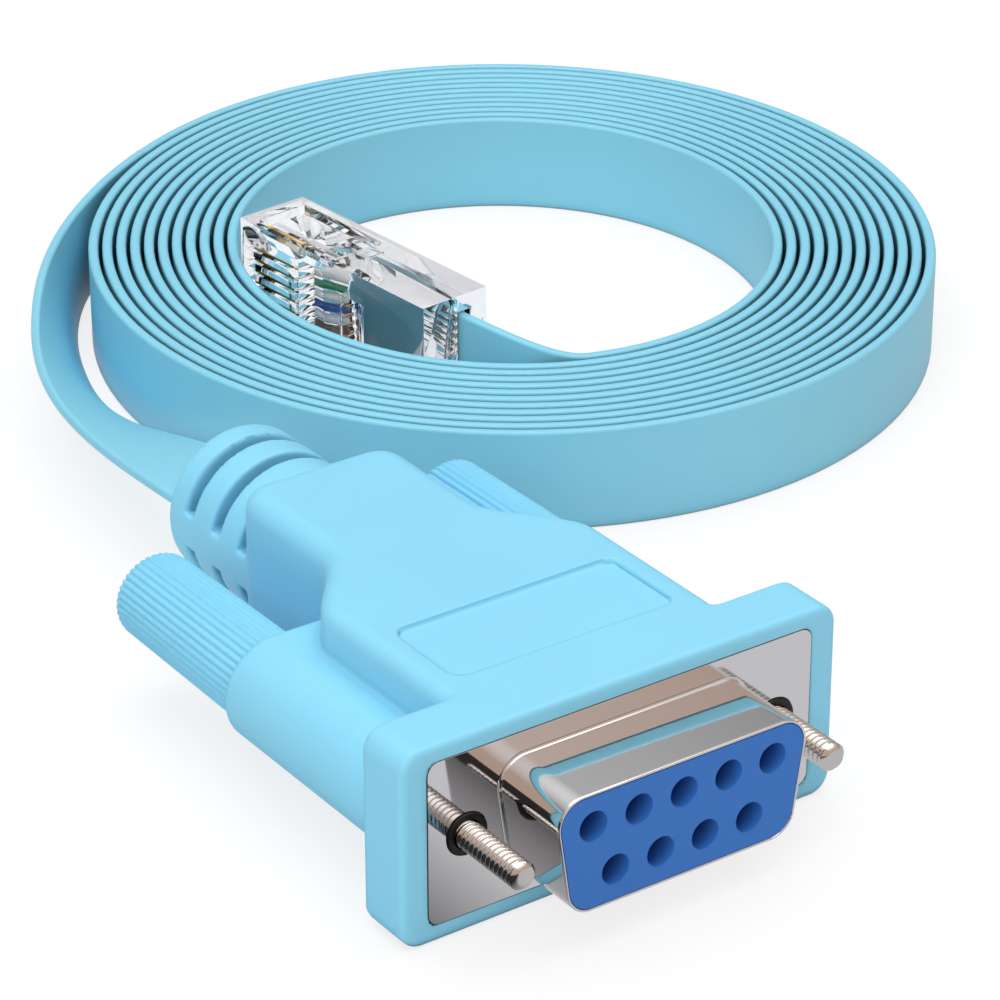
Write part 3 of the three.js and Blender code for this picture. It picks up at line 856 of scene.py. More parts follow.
@dataclass
class Hood:
    """The moulded hood: plate, shouldered body, screw sleeves, neck and slotted strain relief."""

    plate_width: float = 35.1
    plate_height: float = 14.7
    plate_front: float = 6.42
    plate_thickness: float = 4.55
    plate_corner: float = 1.6
    edge_round: float = 0.45
    body_width: float = 22.2
    body_round: float = 1.2
    neck_soft: float = 1.7
    shoulder_start: float = 24.5
    shoulder_end: float = 33.0
    neck_width: float = 13.2
    neck_end: float = 43.9
    neck_round: float = 2.4
    sleeve_radius: float = 4.0
    sleeve_end: float = 29.4
    label_width: float = 17.8
    label_length: float = 7.5
    label_middle: float = 16.5
    label_sunk: float = 0.34
    label_corner: float = 1.0
    boot_radius: float = 5.95
    boot_core: float = 3.1
    boot_end: float = 54.6
    boot_round: float = 1.0
    slot_middles: tuple[float, ...] = (44.4, 47.95, 51.5)
    slot_width: float = 1.15
    web_angle: float = 174.0
    web_width: float = 1.5
    sleeve_round: float = 0.25
    overlap: float = 1.5
    boot_overlap: float = 3.0
    soft_end: float = 35.0
    web_start: float = 2.0
    body_fillet: float = 0.5
    sleeve_fillet: float = 0.3
    boot_fillet: float = 0.35
    slot_round: float = 0.22
    cut_round: float = 0.12
    bore_round: float = 0.15
    grip_bore: float = 3.6
    grip_bore_start: float = 12.7
    thread_bore: float = 1.45
    flange_pocket: tuple[float, float, float] = (15.56, 6.13, 0.95)
    flange_pocket_back: float = 7.3
    insert_pocket: tuple[float, float, float] = (9.5, 4.1, 2.0)
    insert_pocket_back: float = 12.3
    cable_entry: tuple[float, float, float] = (4.35, 0.62, 0.5)
    cable_entry_depth: float = 1.2
    margin: float = 0.6
    step: float = 0.25

    def width_at(self, y: np.ndarray) -> tuple[np.ndarray, np.ndarray]:
        """Half width of the body's plan at a depth, and its slope."""
        drop = (self.body_width - self.neck_width) / 2
        length = self.shoulder_end - self.shoulder_start
        t = np.clip((y - self.shoulder_start) / length, 0, 1)
        return self.body_width / 2 - drop * t * t * (3 - 2 * t), drop * 6 * t * (1 - t) / length

    def distance(self, points: np.ndarray) -> np.ndarray:
        """Signed distance to the hood.

        Args:
            points: Points in millimetres from the connector's datum.

        Returns:
            One distance for each point, negative inside.
        """
        x, y, z = points.T
        bottom = -AXIS_HEIGHT
        half_height = self.plate_height / 2
        middle = bottom + half_height
        plate_back = self.plate_front + self.plate_thickness
        edge = box_distance(x, z - middle, self.plate_width / 2, half_height, self.plate_corner)
        plate_middle = (self.plate_front + plate_back) / 2
        plate = slab(edge, np.abs(y - plate_middle) - self.plate_thickness / 2, self.edge_round)
        width, slope = self.width_at(y)
        side = (np.abs(x) - width) / np.hypot(1, slope)
        start = self.plate_front + self.overlap
        plan = slab(side, np.maximum(start - y, y - self.neck_end), self.neck_round)
        soft = self.body_round + (self.neck_soft - self.body_round) * smoothstep(y, self.shoulder_start, self.soft_end)
        body = slab(plan, np.abs(z - middle) - half_height, soft)
        reach = np.maximum(np.abs(x) - SCREW_SPACING / 2, 0)
        stadium = np.hypot(reach, z) - self.sleeve_radius
        sleeves = slab(stadium, np.maximum(start - y, y - self.sleeve_end), self.sleeve_round)
        turn = np.hypot(x, z)
        boot_start = self.neck_end - self.boot_overlap
        boot = slab(turn - self.boot_radius, np.maximum(boot_start - y, y - self.boot_end), self.boot_round)
        boot = self.slotted(boot, x, y, z, turn)
        whole = blend_in(plate, body, self.body_fillet)
        whole = blend_in(whole, sleeves, self.sleeve_fillet)
        whole = blend_in(whole, boot, self.boot_fillet)
        whole = np.maximum(whole, np.abs(z - middle) - half_height)
        return self.without_cuts(whole, x, y, z)

    def slotted(self, boot: np.ndarray, x: np.ndarray, y: np.ndarray, z: np.ndarray, turn: np.ndarray) -> np.ndarray:
        """Cut the slots into the strain relief, down to its core and between its webs.

        Args:
            boot: Distance to the plain strain relief.
            x: Place across.
            y: Depth.
            z: Height.
            turn: Distance from the strain relief's axis.

        Returns:
            Distance to the slotted strain relief.
        """
        lean = np.radians(self.web_angle)
        across_web = np.minimum(
            np.abs(-x * np.sin(lean) + z * np.cos(lean)),
            np.abs(x * np.sin(np.pi - lean) - z * np.cos(np.pi - lean)),
        )
        clear_of_web = self.web_width / 2 - np.where(np.abs(x) > self.web_start, across_web, self.web_width)
        for place in self.slot_middles:
            slot = np.maximum(np.abs(y - place) - self.slot_width / 2, self.boot_core - turn)
            boot = cut_out(boot, np.maximum(slot, clear_of_web), self.slot_round)
        return boot

    def without_cuts(self, whole: np.ndarray, x: np.ndarray, y: np.ndarray, z: np.ndarray) -> np.ndarray:
        """Take the label recess, the bores and the pockets out of the moulding.

        Args:
            whole: Distance to the moulding without its cuts.
            x: Place across.
            y: Depth.
            z: Height.

        Returns:
            Distance to the finished moulding.
        """
        top = self.plate_height - AXIS_HEIGHT
        label = box_distance(x, y - self.label_middle, self.label_width / 2, self.label_length / 2, self.label_corner)
        whole = cut_out(whole, np.maximum(label, top - self.label_sunk - z), self.cut_round)
        for side in Side:
            away = np.hypot(x - side.x, z)
            bore = np.maximum(away - self.grip_bore, self.grip_bore_start - y)
            whole = cut_out(whole, bore, self.bore_round)
            whole = np.maximum(whole, self.thread_bore - away)
        flange = np.maximum(box_distance(x, z, *self.flange_pocket), y - self.flange_pocket_back)
        insert = np.maximum(box_distance(x, z, *self.insert_pocket), y - self.insert_pocket_back)
        whole = cut_out(whole, flange, self.cut_round)
        whole = np.maximum(whole, -insert)
        entry = np.maximum(box_distance(x, z, *self.cable_entry), self.boot_end - self.cable_entry_depth - y)
        return cut_out(whole, entry, self.bore_round)

    def build(self) -> bpy.types.Object:
        """Skin the moulding and shade it smooth."""
        room = self.margin
        low = (-self.plate_width / 2 - room, self.plate_front - room, -AXIS_HEIGHT - room)
        high = (self.plate_width / 2 + room, self.boot_end + room, self.plate_height - AXIS_HEIGHT + room)
        points, faces = surface_net(self.distance, low, high, self.step)
        piece = new_piece("hood_moulding", points, faces, SKY_MOULDING)
        return smooth(piece, 60)

    def dress(self) -> None:
        """Build the hood and settle it."""
        settle(self.build(), Body.CABLE, SKY_MOULDING, "hood")


# Repeated forms


def row_group() -> bpy.types.NodeTree:
    """Make the geometry group that repeats one part in a row.

    Returns:
        The group, with Count, Step and Finish inputs.
    """
    group = bpy.data.node_groups.new("row_of_parts", "GeometryNodeTree")
    graph = Graph(group)
    source = graph.sockets(
        {
            "Part": ("NodeSocketGeometry", None),
            "Count": ("NodeSocketInt", 4),
            "Step": ("NodeSocketVector", None),
            "Finish": ("NodeSocketMaterial", None),
        },
        {"Row": "NodeSocketGeometry"},
    )
    line = graph.node(
        "GeometryNodeMeshLine",
        {"Count": source.outputs["Count"], "Offset": source.outputs["Step"]},
        mode="OFFSET",
    )
    copies = graph.node(
        "GeometryNodeInstanceOnPoints", {"Points": line.outputs["Mesh"], "Instance": source.outputs["Part"]}
    )
    solid = graph.node("GeometryNodeRealizeInstances", {"Geometry": copies.outputs["Instances"]})
    dressed = graph.node(
        "GeometryNodeSetMaterial", {"Geometry": solid.outputs["Geometry"], "Material": source.outputs["Finish"]}
    )
    graph.node("NodeGroupOutput", {"Row": dressed.outputs["Geometry"]})
    return group


def turning_parts(graph: Graph, centre: object) -> tuple[bpy.types.NodeSocket, ...]:
    """Work out where each point stands round an axis that runs back.

    Args:
        graph: The geometry group's graph.
        centre: Socket that gives a point on the axis.

    Returns:
        Sockets for the angle, the radius, the depth and the direction out from the axis.
    """
    place = graph.node("GeometryNodeInputPosition").outputs[0]
    away = graph.node("ShaderNodeVectorMath", {0: place, 1: centre}, operation="SUBTRACT").outputs[0]
    apart = graph.node("ShaderNodeSeparateXYZ", {0: away})
    angle = graph.math("ARCTAN2", apart.outputs["Z"], apart.outputs["X"])
    flat = graph.node("ShaderNodeCombineXYZ", {"X": apart.outputs["X"], "Z": apart.outputs["Z"]}).outputs[0]
    radius = graph.node("ShaderNodeVectorMath", {0: flat}, operation="LENGTH").outputs["Value"]
    outward = graph.node("ShaderNodeVectorMath", {0: flat}, operation="NORMALIZE").outputs[0]
    return angle, radius, apart.outputs["Y"], outward


def finish_turning(graph: Graph, source: bpy.types.Node, outward: object, offset: object) -> None:
    """Move each point out by an offset, then end the group with its finish."""
    shift = graph.scaled(outward, offset)
    moved = graph.node("GeometryNodeSetPosition", {"Geometry": source.outputs["Blank"], "Offset": shift})
    solid = graph.node("GeometryNodeRealizeInstances", {"Geometry": moved.outputs["Geometry"]})
    dressed = graph.node(
        "GeometryNodeSetMaterial", {"Geometry": solid.outputs["Geometry"], "Material": source.outputs["Finish"]}
    )
    graph.node("NodeGroupOutput", {"Result": dressed.outputs["Geometry"]})


def ribs_group() -> bpy.types.NodeTree:
    """Make the geometry group that presses straight ribs round a turned blank.

    Returns:
        The group, with Axis, Rib Count, Rib Depth, Core Radius and Finish inputs.
    """
    group = bpy.data.node_groups.new("straight_ribs", "GeometryNodeTree")
    graph = Graph(group)
    source = graph.sockets(
        {
            "Blank": ("NodeSocketGeometry", None),
            "Axis": ("NodeSocketVector", None),
            "Rib Count": ("NodeSocketFloat", 40.0),
            "Rib Depth": ("NodeSocketFloat", 0.0001),
            "Core Radius": ("NodeSocketFloat", 0.0025),
            "Finish": ("NodeSocketMaterial", None),
        },
        {"Result": "NodeSocketGeometry"},
    )
    angle, radius, _, outward = turning_parts(graph, source.outputs["Axis"])
    wave = graph.math("COSINE", graph.math("MULTIPLY", angle, source.outputs["Rib Count"]))
    groove = graph.math("POWER", graph.math("MULTIPLY_ADD", wave, -0.5, 0.5), 1.6)
    outside = graph.math("GREATER_THAN", radius, source.outputs["Core Radius"])
    depth = graph.math("MULTIPLY", graph.math("MULTIPLY", groove, outside), source.outputs["Rib Depth"])
    finish_turning(graph, source, outward, graph.math("MULTIPLY", depth, -1.0))
    return group


def thread_group() -> bpy.types.NodeTree:
    """Make the geometry group that rolls a screw thread into a turned blank.

    Returns:
        The group, with Axis, Pitch, Depth, Core Radius, Thread Start and Finish inputs.
    """
    group = bpy.data.node_groups.new("rolled_thread", "GeometryNodeTree")
    graph = Graph(group)
    source = graph.sockets(
        {
            "Blank": ("NodeSocketGeometry", None),
            "Axis": ("NodeSocketVector", None),
            "Pitch": ("NodeSocketFloat", 0.0005),
            "Depth": ("NodeSocketFloat", 0.0002),
            "Core Radius": ("NodeSocketFloat", 0.001),
            "Thread Start": ("NodeSocketFloat", 0.0),
            "Finish": ("NodeSocketMaterial", None),
        },
        {"Result": "NodeSocketGeometry"},
    )
    angle, radius, depth, outward = turning_parts(graph, source.outputs["Axis"])
    pitches = graph.math("DIVIDE", depth, source.outputs["Pitch"])
    turns = graph.math("SUBTRACT", pitches, graph.math("DIVIDE", angle, math.tau))
    cut = graph.ramp(graph.math("PINGPONG", turns, 0.5), 0.1, 0.42)
    outside = graph.math("GREATER_THAN", radius, source.outputs["Core Radius"])
    begun = graph.math("GREATER_THAN", depth, source.outputs["Thread Start"])
    shape = graph.math("MULTIPLY", graph.math("MULTIPLY", cut, outside), begun)
    depth_cut = graph.math("MULTIPLY", shape, source.outputs["Depth"])
    finish_turning(graph, source, outward, graph.math("MULTIPLY", depth_cut, -1.0))
    return group


@dataclass
class Thumbscrew:
    """One thumbscrew with the black ring that keeps it in the flange."""

    side: Side
    thread_radius: float = 1.0
    thread_pitch: float = 0.46
    thread_depth: float = 0.17
    thread_end: float = 8.6
    shank_step: float = 0.1
    tip: float = 0.05
    chamfer: float = 0.3
    screw_end: float = 18.7
    grip_start: float = 13.0
    grip_end: float = 45.3
    grip_end_radius: float = 3.27
    grip_taper: float = 0.009
    grip_round: float = 0.6
    grip_core: float = 1.45
    grip_edge: float = 0.3
    rib_count: int = 40
    rib_depth: float = 0.14
    ring_inner: float = 1.04
    ring_outer: float = 1.54
    ring_front: float = 6.3
    ring_back: float = 7.18

    def axis(self) -> tuple[float, float, float]:
        """A point on the screw's axis, in the part's frame."""
        return tuple(part_frame([(self.side.x, 0.0, 0.0)])[0])

    def build_screw(self, thread: bpy.types.NodeTree) -> bpy.types.Object:
        """Make the threaded screw with its flat chamfered tip."""
        r, tip = self.thread_radius, self.tip
        profile = [(0.0, tip), (0.5 * r, tip), (r - self.chamfer, tip), (r, tip + self.chamfer)]
        shank, end = r - self.shank_step, self.thread_end
        profile += [(r, float(y)) for y in np.arange(tip + self.chamfer + 0.2, end, self.thread_pitch / 12)]
        profile += [(shank, end + self.shank_step), (shank, self.screw_end), (0.0, self.screw_end)]
        piece = new_piece(f"jackscrew_steel_{self.side.label}", *turned(profile, 48, self.side.x), SCREW_PLATE)
        run_nodes(piece, thread, {
            "Axis": self.axis(),
            "Pitch": self.thread_pitch * MM,
            "Depth": self.thread_depth * MM,
            "Core Radius": (r - 0.05) * MM,
            "Thread Start": (tip + self.chamfer + 0.15) * MM,
            "Finish": SCREW_PLATE.material(),
        })
        return smooth(piece, 50)

    def build_grip(self, ribs: bpy.types.NodeTree) -> bpy.types.Object:
        """Make the ribbed grip with its socket for the screw and its rounded end."""
        end, r = self.grip_end, self.grip_end_radius
        start, soft, edge = self.grip_start, self.grip_round, self.grip_edge
        front = r + self.grip_taper * (end - start)
        socket_end = self.screw_end + edge
        profile = [(0.0, socket_end), (self.grip_core, socket_end), (self.grip_core, start)]
        profile += [(front - edge, start), (front, start + edge), (r, end - soft)]
        profile += arc((r - soft, end - soft), soft, 0, 90, 6)[1:]
        profile += [(1.2, end), (0.0, end)]
        piece = new_piece(f"ribbed_grip_{self.side.label}", *turned(profile, 400, self.side.x), GRIP_MOULDING)
        run_nodes(piece, ribs, {
            "Axis": self.axis(),
            "Rib Count": float(self.rib_count),
            "Rib Depth": self.rib_depth * MM,
            "Core Radius": (r - 0.35) * MM,
            "Finish": GRIP_MOULDING.material(),
        })
        return smooth(piece, 50)

    def build_ring(self) -> bpy.types.Object:
        """Make the black retaining ring, standing proud of the flange."""
        soft = 0.1
        inner, outer = self.ring_inner, self.ring_outer
        front, back = self.ring_front, self.ring_back
        profile = [(inner, back)]
        profile += arc((inner + soft, front + soft), soft, 180, 270, 4)
        profile += arc((outer - soft, front + soft), soft, 270, 360, 4)
        profile += [(outer - 0.04, back), (inner, back)]
        return smooth(new_piece(f"screw_ring_{self.side.label}", *turned(profile, 48, self.side.x), BLACK_RUBBER))

    def dress(self, ribs: bpy.types.NodeTree, thread: bpy.types.NodeTree) -> None:
        """Build the ring, the screw and the grip, and settle them."""
        name, body = self.side.label, Body.thumbscrew(self.side)
        settle(self.build_ring(), Body.CABLE, BLACK_RUBBER, f"screw_grommet_{name}")
        settle(self.build_screw(thread), body, SCREW_PLATE, f"jackscrew_{name}")
        settle(self.build_grip(ribs), body, GRIP_MOULDING, f"thumbscrew_grip_{name}")


# Flat cable


def ribbon_group() -> bpy.types.NodeTree:
    """Make the geometry group that sweeps the flat cable's section along a line.

    Returns:
        The group, with Width, Thickness, Corner and Finish inputs.
    """
    group = bpy.data.node_groups.new("flat_cable", "GeometryNodeTree")
    graph = Graph(group)
    source = graph.sockets(
        {
            "Line": ("NodeSocketGeometry", None),
            "Width": ("NodeSocketFloat", 0.008),
            "Thickness": ("NodeSocketFloat", 0.001),
            "Corner": ("NodeSocketFloat", 0.0003),
            "Finish": ("NodeSocketMaterial", None),
        },
        {"Cable": "NodeSocketGeometry"},
    )
    section = graph.node(
        "GeometryNodeCurvePrimitiveQuadrilateral",
        {"Width": source.outputs["Thickness"], "Height": source.outputs["Width"]},
    )
    corners = {"Curve": section.outputs[0], "Count": 5, "Radius": source.outputs["Corner"]}
    rounded = graph.node("GeometryNodeFilletCurve", corners, mode="POLY")
    swept = graph.node(
        "GeometryNodeCurveToMesh",
        {"Curve": source.outputs["Line"], "Profile Curve": rounded.outputs[0], "Fill Caps": True},
    )
    shaded = graph.node("GeometryNodeSetShadeSmooth", {"Geometry": swept.outputs[0]})
    solid = graph.node("GeometryNodeRealizeInstances", {"Geometry": shaded.outputs[0]})
    dressed = graph.node(
        "GeometryNodeSetMaterial", {"Geometry": solid.outputs[0], "Material": source.outputs["Finish"]}
    )
    graph.node("NodeGroupOutput", {"Cable": dressed.outputs[0]})
    return group


def winding_group(ribbon: bpy.types.NodeTree) -> bpy.types.NodeTree:
    """Make the geometry group that winds the flat cable into its oval spiral.

    Args:
        ribbon: The group that sweeps the cable's section.

    Returns:
        The group, with an input for each size of the winding.
    """
    group = bpy.data.node_groups.new("wound_cable", "GeometryNodeTree")
    graph = Graph(group)
    source = graph.sockets(
        {
            "Start": ("NodeSocketGeometry", None),
            "Points": ("NodeSocketInt", 1200),
            "Centre": ("NodeSocketVector", None),
            "First Turn": ("NodeSocketFloat", 0.0),
            "Last Turn": ("NodeSocketFloat", 12.0),
            "Zero Bearing": ("NodeSocketFloat", 0.0),
            "Inner Radius": ("NodeSocketFloat", 0.02),
            "Turn Pitch": ("NodeSocketFloat", 0.001),
            "Oval": ("NodeSocketFloat", 0.0),
            "Oval Bearing": ("NodeSocketFloat", 0.0),
            "Width": ("NodeSocketFloat", 0.008),
            "Thickness": ("NodeSocketFloat", 0.001),
            "Corner": ("NodeSocketFloat", 0.0003),
            "Finish": ("NodeSocketMaterial", None),
        },
        {"Cable": "NodeSocketGeometry"},
    )
    given = source.outputs
    line = graph.node("GeometryNodeMeshLine", {"Count": given["Points"]}, mode="OFFSET")
    index = graph.node("GeometryNodeInputIndex").outputs[0]
    share = graph.math("DIVIDE", index, graph.math("SUBTRACT", given["Points"], 1.0))
    turns = graph.math(
        "MULTIPLY_ADD", share, graph.math("SUBTRACT", given["Last Turn"], given["First Turn"]), given["First Turn"]
    )
    bearing = graph.math("MULTIPLY_ADD", turns, math.tau, given["Zero Bearing"])
    lean = graph.math("MULTIPLY", graph.math("SUBTRACT", bearing, given["Oval Bearing"]), 2.0)
    round_radius = graph.math("MULTIPLY_ADD", turns, given["Turn Pitch"], given["Inner Radius"])
    radius = graph.math("MULTIPLY_ADD", graph.math("COSINE", lean), given["Oval"], round_radius)
    spoke = graph.node(
        "ShaderNodeCombineXYZ",
        {
            "X": graph.math("MULTIPLY", radius, graph.math("COSINE", bearing)),
            "Y": graph.math("MULTIPLY", radius, graph.math("SINE", bearing)),
        },
    )
    place = graph.node("ShaderNodeVectorMath", {0: spoke.outputs[0], 1: given["Centre"]}, operation="ADD")
    spiral = graph.node("GeometryNodeSetPosition", {"Geometry": line.outputs[0], "Position": place.outputs[0]})
    path = graph.node("GeometryNodeMeshToCurve", {0: spiral.outputs[0]})
    level = graph.node("GeometryNodeSetCurveNormal", {0: path.outputs[0]}, mode="Z_UP")
    sweep = graph.node("GeometryNodeGroup", node_tree=ribbon)
    graph.feed(sweep.inputs["Line"], level.outputs[0])
    for name in ("Width", "Thickness", "Corner", "Finish"):
        graph.feed(sweep.inputs[name], given[name])
    graph.node("NodeGroupOutput", {"Cable": sweep.outputs[0]})
    return group


@dataclass
class FlatCable:
    """The flat cable: the free stretch from the boot, the coil and the lead to the plug."""

    width: float = 8.38
    thickness: float = 0.84
    corner: float = 0.3
    centre: tuple[float, float] = (42.6, 80.0)
    inner_radius: float = 23.0
    turn_pitch: float = 1.148
    oval: float = 1.09
    oval_bearing: float = 63.8
    zero_bearing: float = 205.0
    first_turn: float = 0.35
    last_turn: float = 11.7536
    steps_per_turn: int = 120
    boot_end: float = 54.6
    leave_reach: float = 9.84
    bow: tuple[float, float] = (-5.08, 94.48)
    arrive_reach: float = 3.0
    boot_inset: float = 0.9
    floor_gap: float = 0.05
    tail_steps: int = 60
    roll_span: tuple[float, float] = (0.122, 1.033)
    lift_span: tuple[float, float] = (0.458, 1.0)
    lead_turn: float = 0.125
    lead_leave: float = 3.4
    lead_arrive: float = 3.8

    def on_spiral(self, turns: float) -> np.ndarray:
        """The middle of the cable on the coil, after a number of turns."""
        bearing = math.radians(self.zero_bearing) + math.tau * turns
        radius = self.inner_radius + self.turn_pitch * turns
        radius += self.oval * math.cos(2 * (bearing - math.radians(self.oval_bearing)))
        return np.array([self.centre[0] + radius * math.cos(bearing), self.centre[1] + radius * math.sin(bearing)])

    def along_spiral(self, turns: float) -> np.ndarray:
        """The unit direction in which the spiral grows."""
        step = self.on_spiral(turns + 1e-4) - self.on_spiral(turns - 1e-4)
        return step / np.linalg.norm(step)

    def tail_path(self) -> tuple[np.ndarray, np.ndarray]:
        """The free stretch, from the coil to inside the boot.

        Returns:
            Points in millimetres, and how far the cable has rolled over at each, in radians.
        """
        leave = self.on_spiral(self.last_turn)
        boot = np.array([0.0, self.boot_end])
        controls = [
            leave,
            leave + self.leave_reach * self.along_spiral(self.last_turn),
            np.array(self.bow),
            boot + (0, self.arrive_reach),
            boot,
        ]
        t = np.linspace(0, 1, self.tail_steps)[:, None]
        flat = sum(w * c * t**i * (1 - t) ** (4 - i) for i, (w, c) in enumerate(zip((1, 4, 6, 4, 1), controls)))
        run = np.concatenate([[0], np.cumsum(np.linalg.norm(np.diff(flat, axis=0), axis=1))])
        share = run / run[-1]
        roll = math.pi / 2 * smoothstep(share, *self.roll_span)
        lift = (AXIS_HEIGHT - self.floor_gap) * smoothstep(share, *self.lift_span)
        height = self.width / 2 * np.cos(roll) + self.floor_gap + lift
        inside = np.array([[0.0, self.boot_end - self.boot_inset, 0.0]])
        path = np.column_stack([flat, height - AXIS_HEIGHT])
        return np.concatenate([path, inside]), np.append(roll, math.pi / 2)

    def sweep(self, name: str, path: np.ndarray, roll: np.ndarray, ribbon: bpy.types.NodeTree) -> bpy.types.Object:
        """Sweep the cable's section along a path.

        Args:
            name: The piece's name.
            path: Points in millimetres from the connector's datum.
            roll: How far the cable has rolled over at each point, in radians.
            ribbon: The group that sweeps the section.

        Returns:
            The cable as a mesh.
        """
        curve = bpy.data.curves.new(name, "CURVE")
        curve.dimensions = "3D"
        curve.twist_mode = "Z_UP"
        spline = curve.splines.new("POLY")
        spline.points.add(len(path) - 1)
        for point, at, tilt in zip(spline.points, part_frame(path), roll):
            point.co = (*at, 1)
            point.tilt = tilt
        line = bpy.data.objects.new(name, curve)
        add_nodes(line, ribbon, self.section_values())
        made = bpy.data.objects.new(name, curve_mesh(line))
        bpy.context.scene.collection.objects.link(made)
        return smooth(made, 60)

    def section_values(self) -> dict[str, object]:
        """What the ribbon group's inputs are set to."""
        return {
            "Width": self.width * MM,
            "Thickness": self.thickness * MM,
            "Corner": self.corner * MM,
            "Finish": CABLE_JACKET.material(),
        }

    def build_tail(self, ribbon: bpy.types.NodeTree) -> bpy.types.Object:
        path, roll = self.tail_path()
        piece = self.sweep("cable_free_stretch", path, roll, ribbon)
        settle(piece, Body.CABLE, CABLE_JACKET, "cable_tail")
        return piece

    def build_coil(self, winding: bpy.types.NodeTree) -> bpy.types.Object:
        """Make the wound turns."""
        piece = new_piece("cable_turns", np.zeros((1, 3)), [], CABLE_JACKET)
        middle = part_frame([(*self.centre, self.width / 2 - AXIS_HEIGHT)])[0]
        values = {
            "Points": int((self.last_turn - self.first_turn) * self.steps_per_turn) + 1,
            "Centre": tuple(middle),
            "First Turn": self.first_turn,
            "Last Turn": self.last_turn,
            "Zero Bearing": math.radians(self.zero_bearing),
            "Inner Radius": self.inner_radius * MM,
            "Turn Pitch": self.turn_pitch * MM,
            "Oval": self.oval * MM,
            "Oval Bearing": math.radians(self.oval_bearing),
        }
        run_nodes(piece, winding, values | self.section_values())
        smooth(piece, 60)
        return settle(piece, Body.CABLE, CABLE_JACKET, "cable_coil")

    def lead_path(self, plug: "ModularPlug") -> np.ndarray:
        """The lead, from the coil's inner turn to inside the plug, in millimetres."""
        join = self.lead_turn
        on_turn = np.array([self.on_spiral(t) for t in np.linspace(self.first_turn, join, 22)])
        start = on_turn[-1]
        mouth, inside = (plug.place(plug.jacket_x, -y) for y in (plug.length, plug.jacket_end))
        heading = (inside - mouth) / np.linalg.norm(inside - mouth)
        controls = [
            start,
            start - self.lead_leave * self.along_spiral(join),
            mouth - self.lead_arrive * heading,
            mouth,
        ]
        t = np.linspace(0, 1, 16)[1:, None]
        bend = sum(w * c * t**i * (1 - t) ** (3 - i) for i, (w, c) in enumerate(zip((1, 3, 3, 1), controls)))
        flat = np.concatenate([on_turn, bend, [mouth + (inside - mouth) * s for s in (0.33, 0.67, 1.0)]])
        height = np.full(len(flat), self.width / 2)
        rise = plug.width / 2 - self.width / 2
        height += rise * smoothstep(np.arange(len(flat)), len(on_turn) - 1, len(on_turn) + len(bend) - 2)
        return np.column_stack([flat, height - AXIS_HEIGHT])

    def build_lead(self, plug: "ModularPlug", ribbon: bpy.types.NodeTree) -> bpy.types.Object:
        path = self.lead_path(plug)
        piece = self.sweep("plug_lead_jacket", path, np.zeros(len(path)), ribbon)
        settle(piece, Body.CABLE, CABLE_JACKET, "plug_lead")
        return piece


# Clear plug


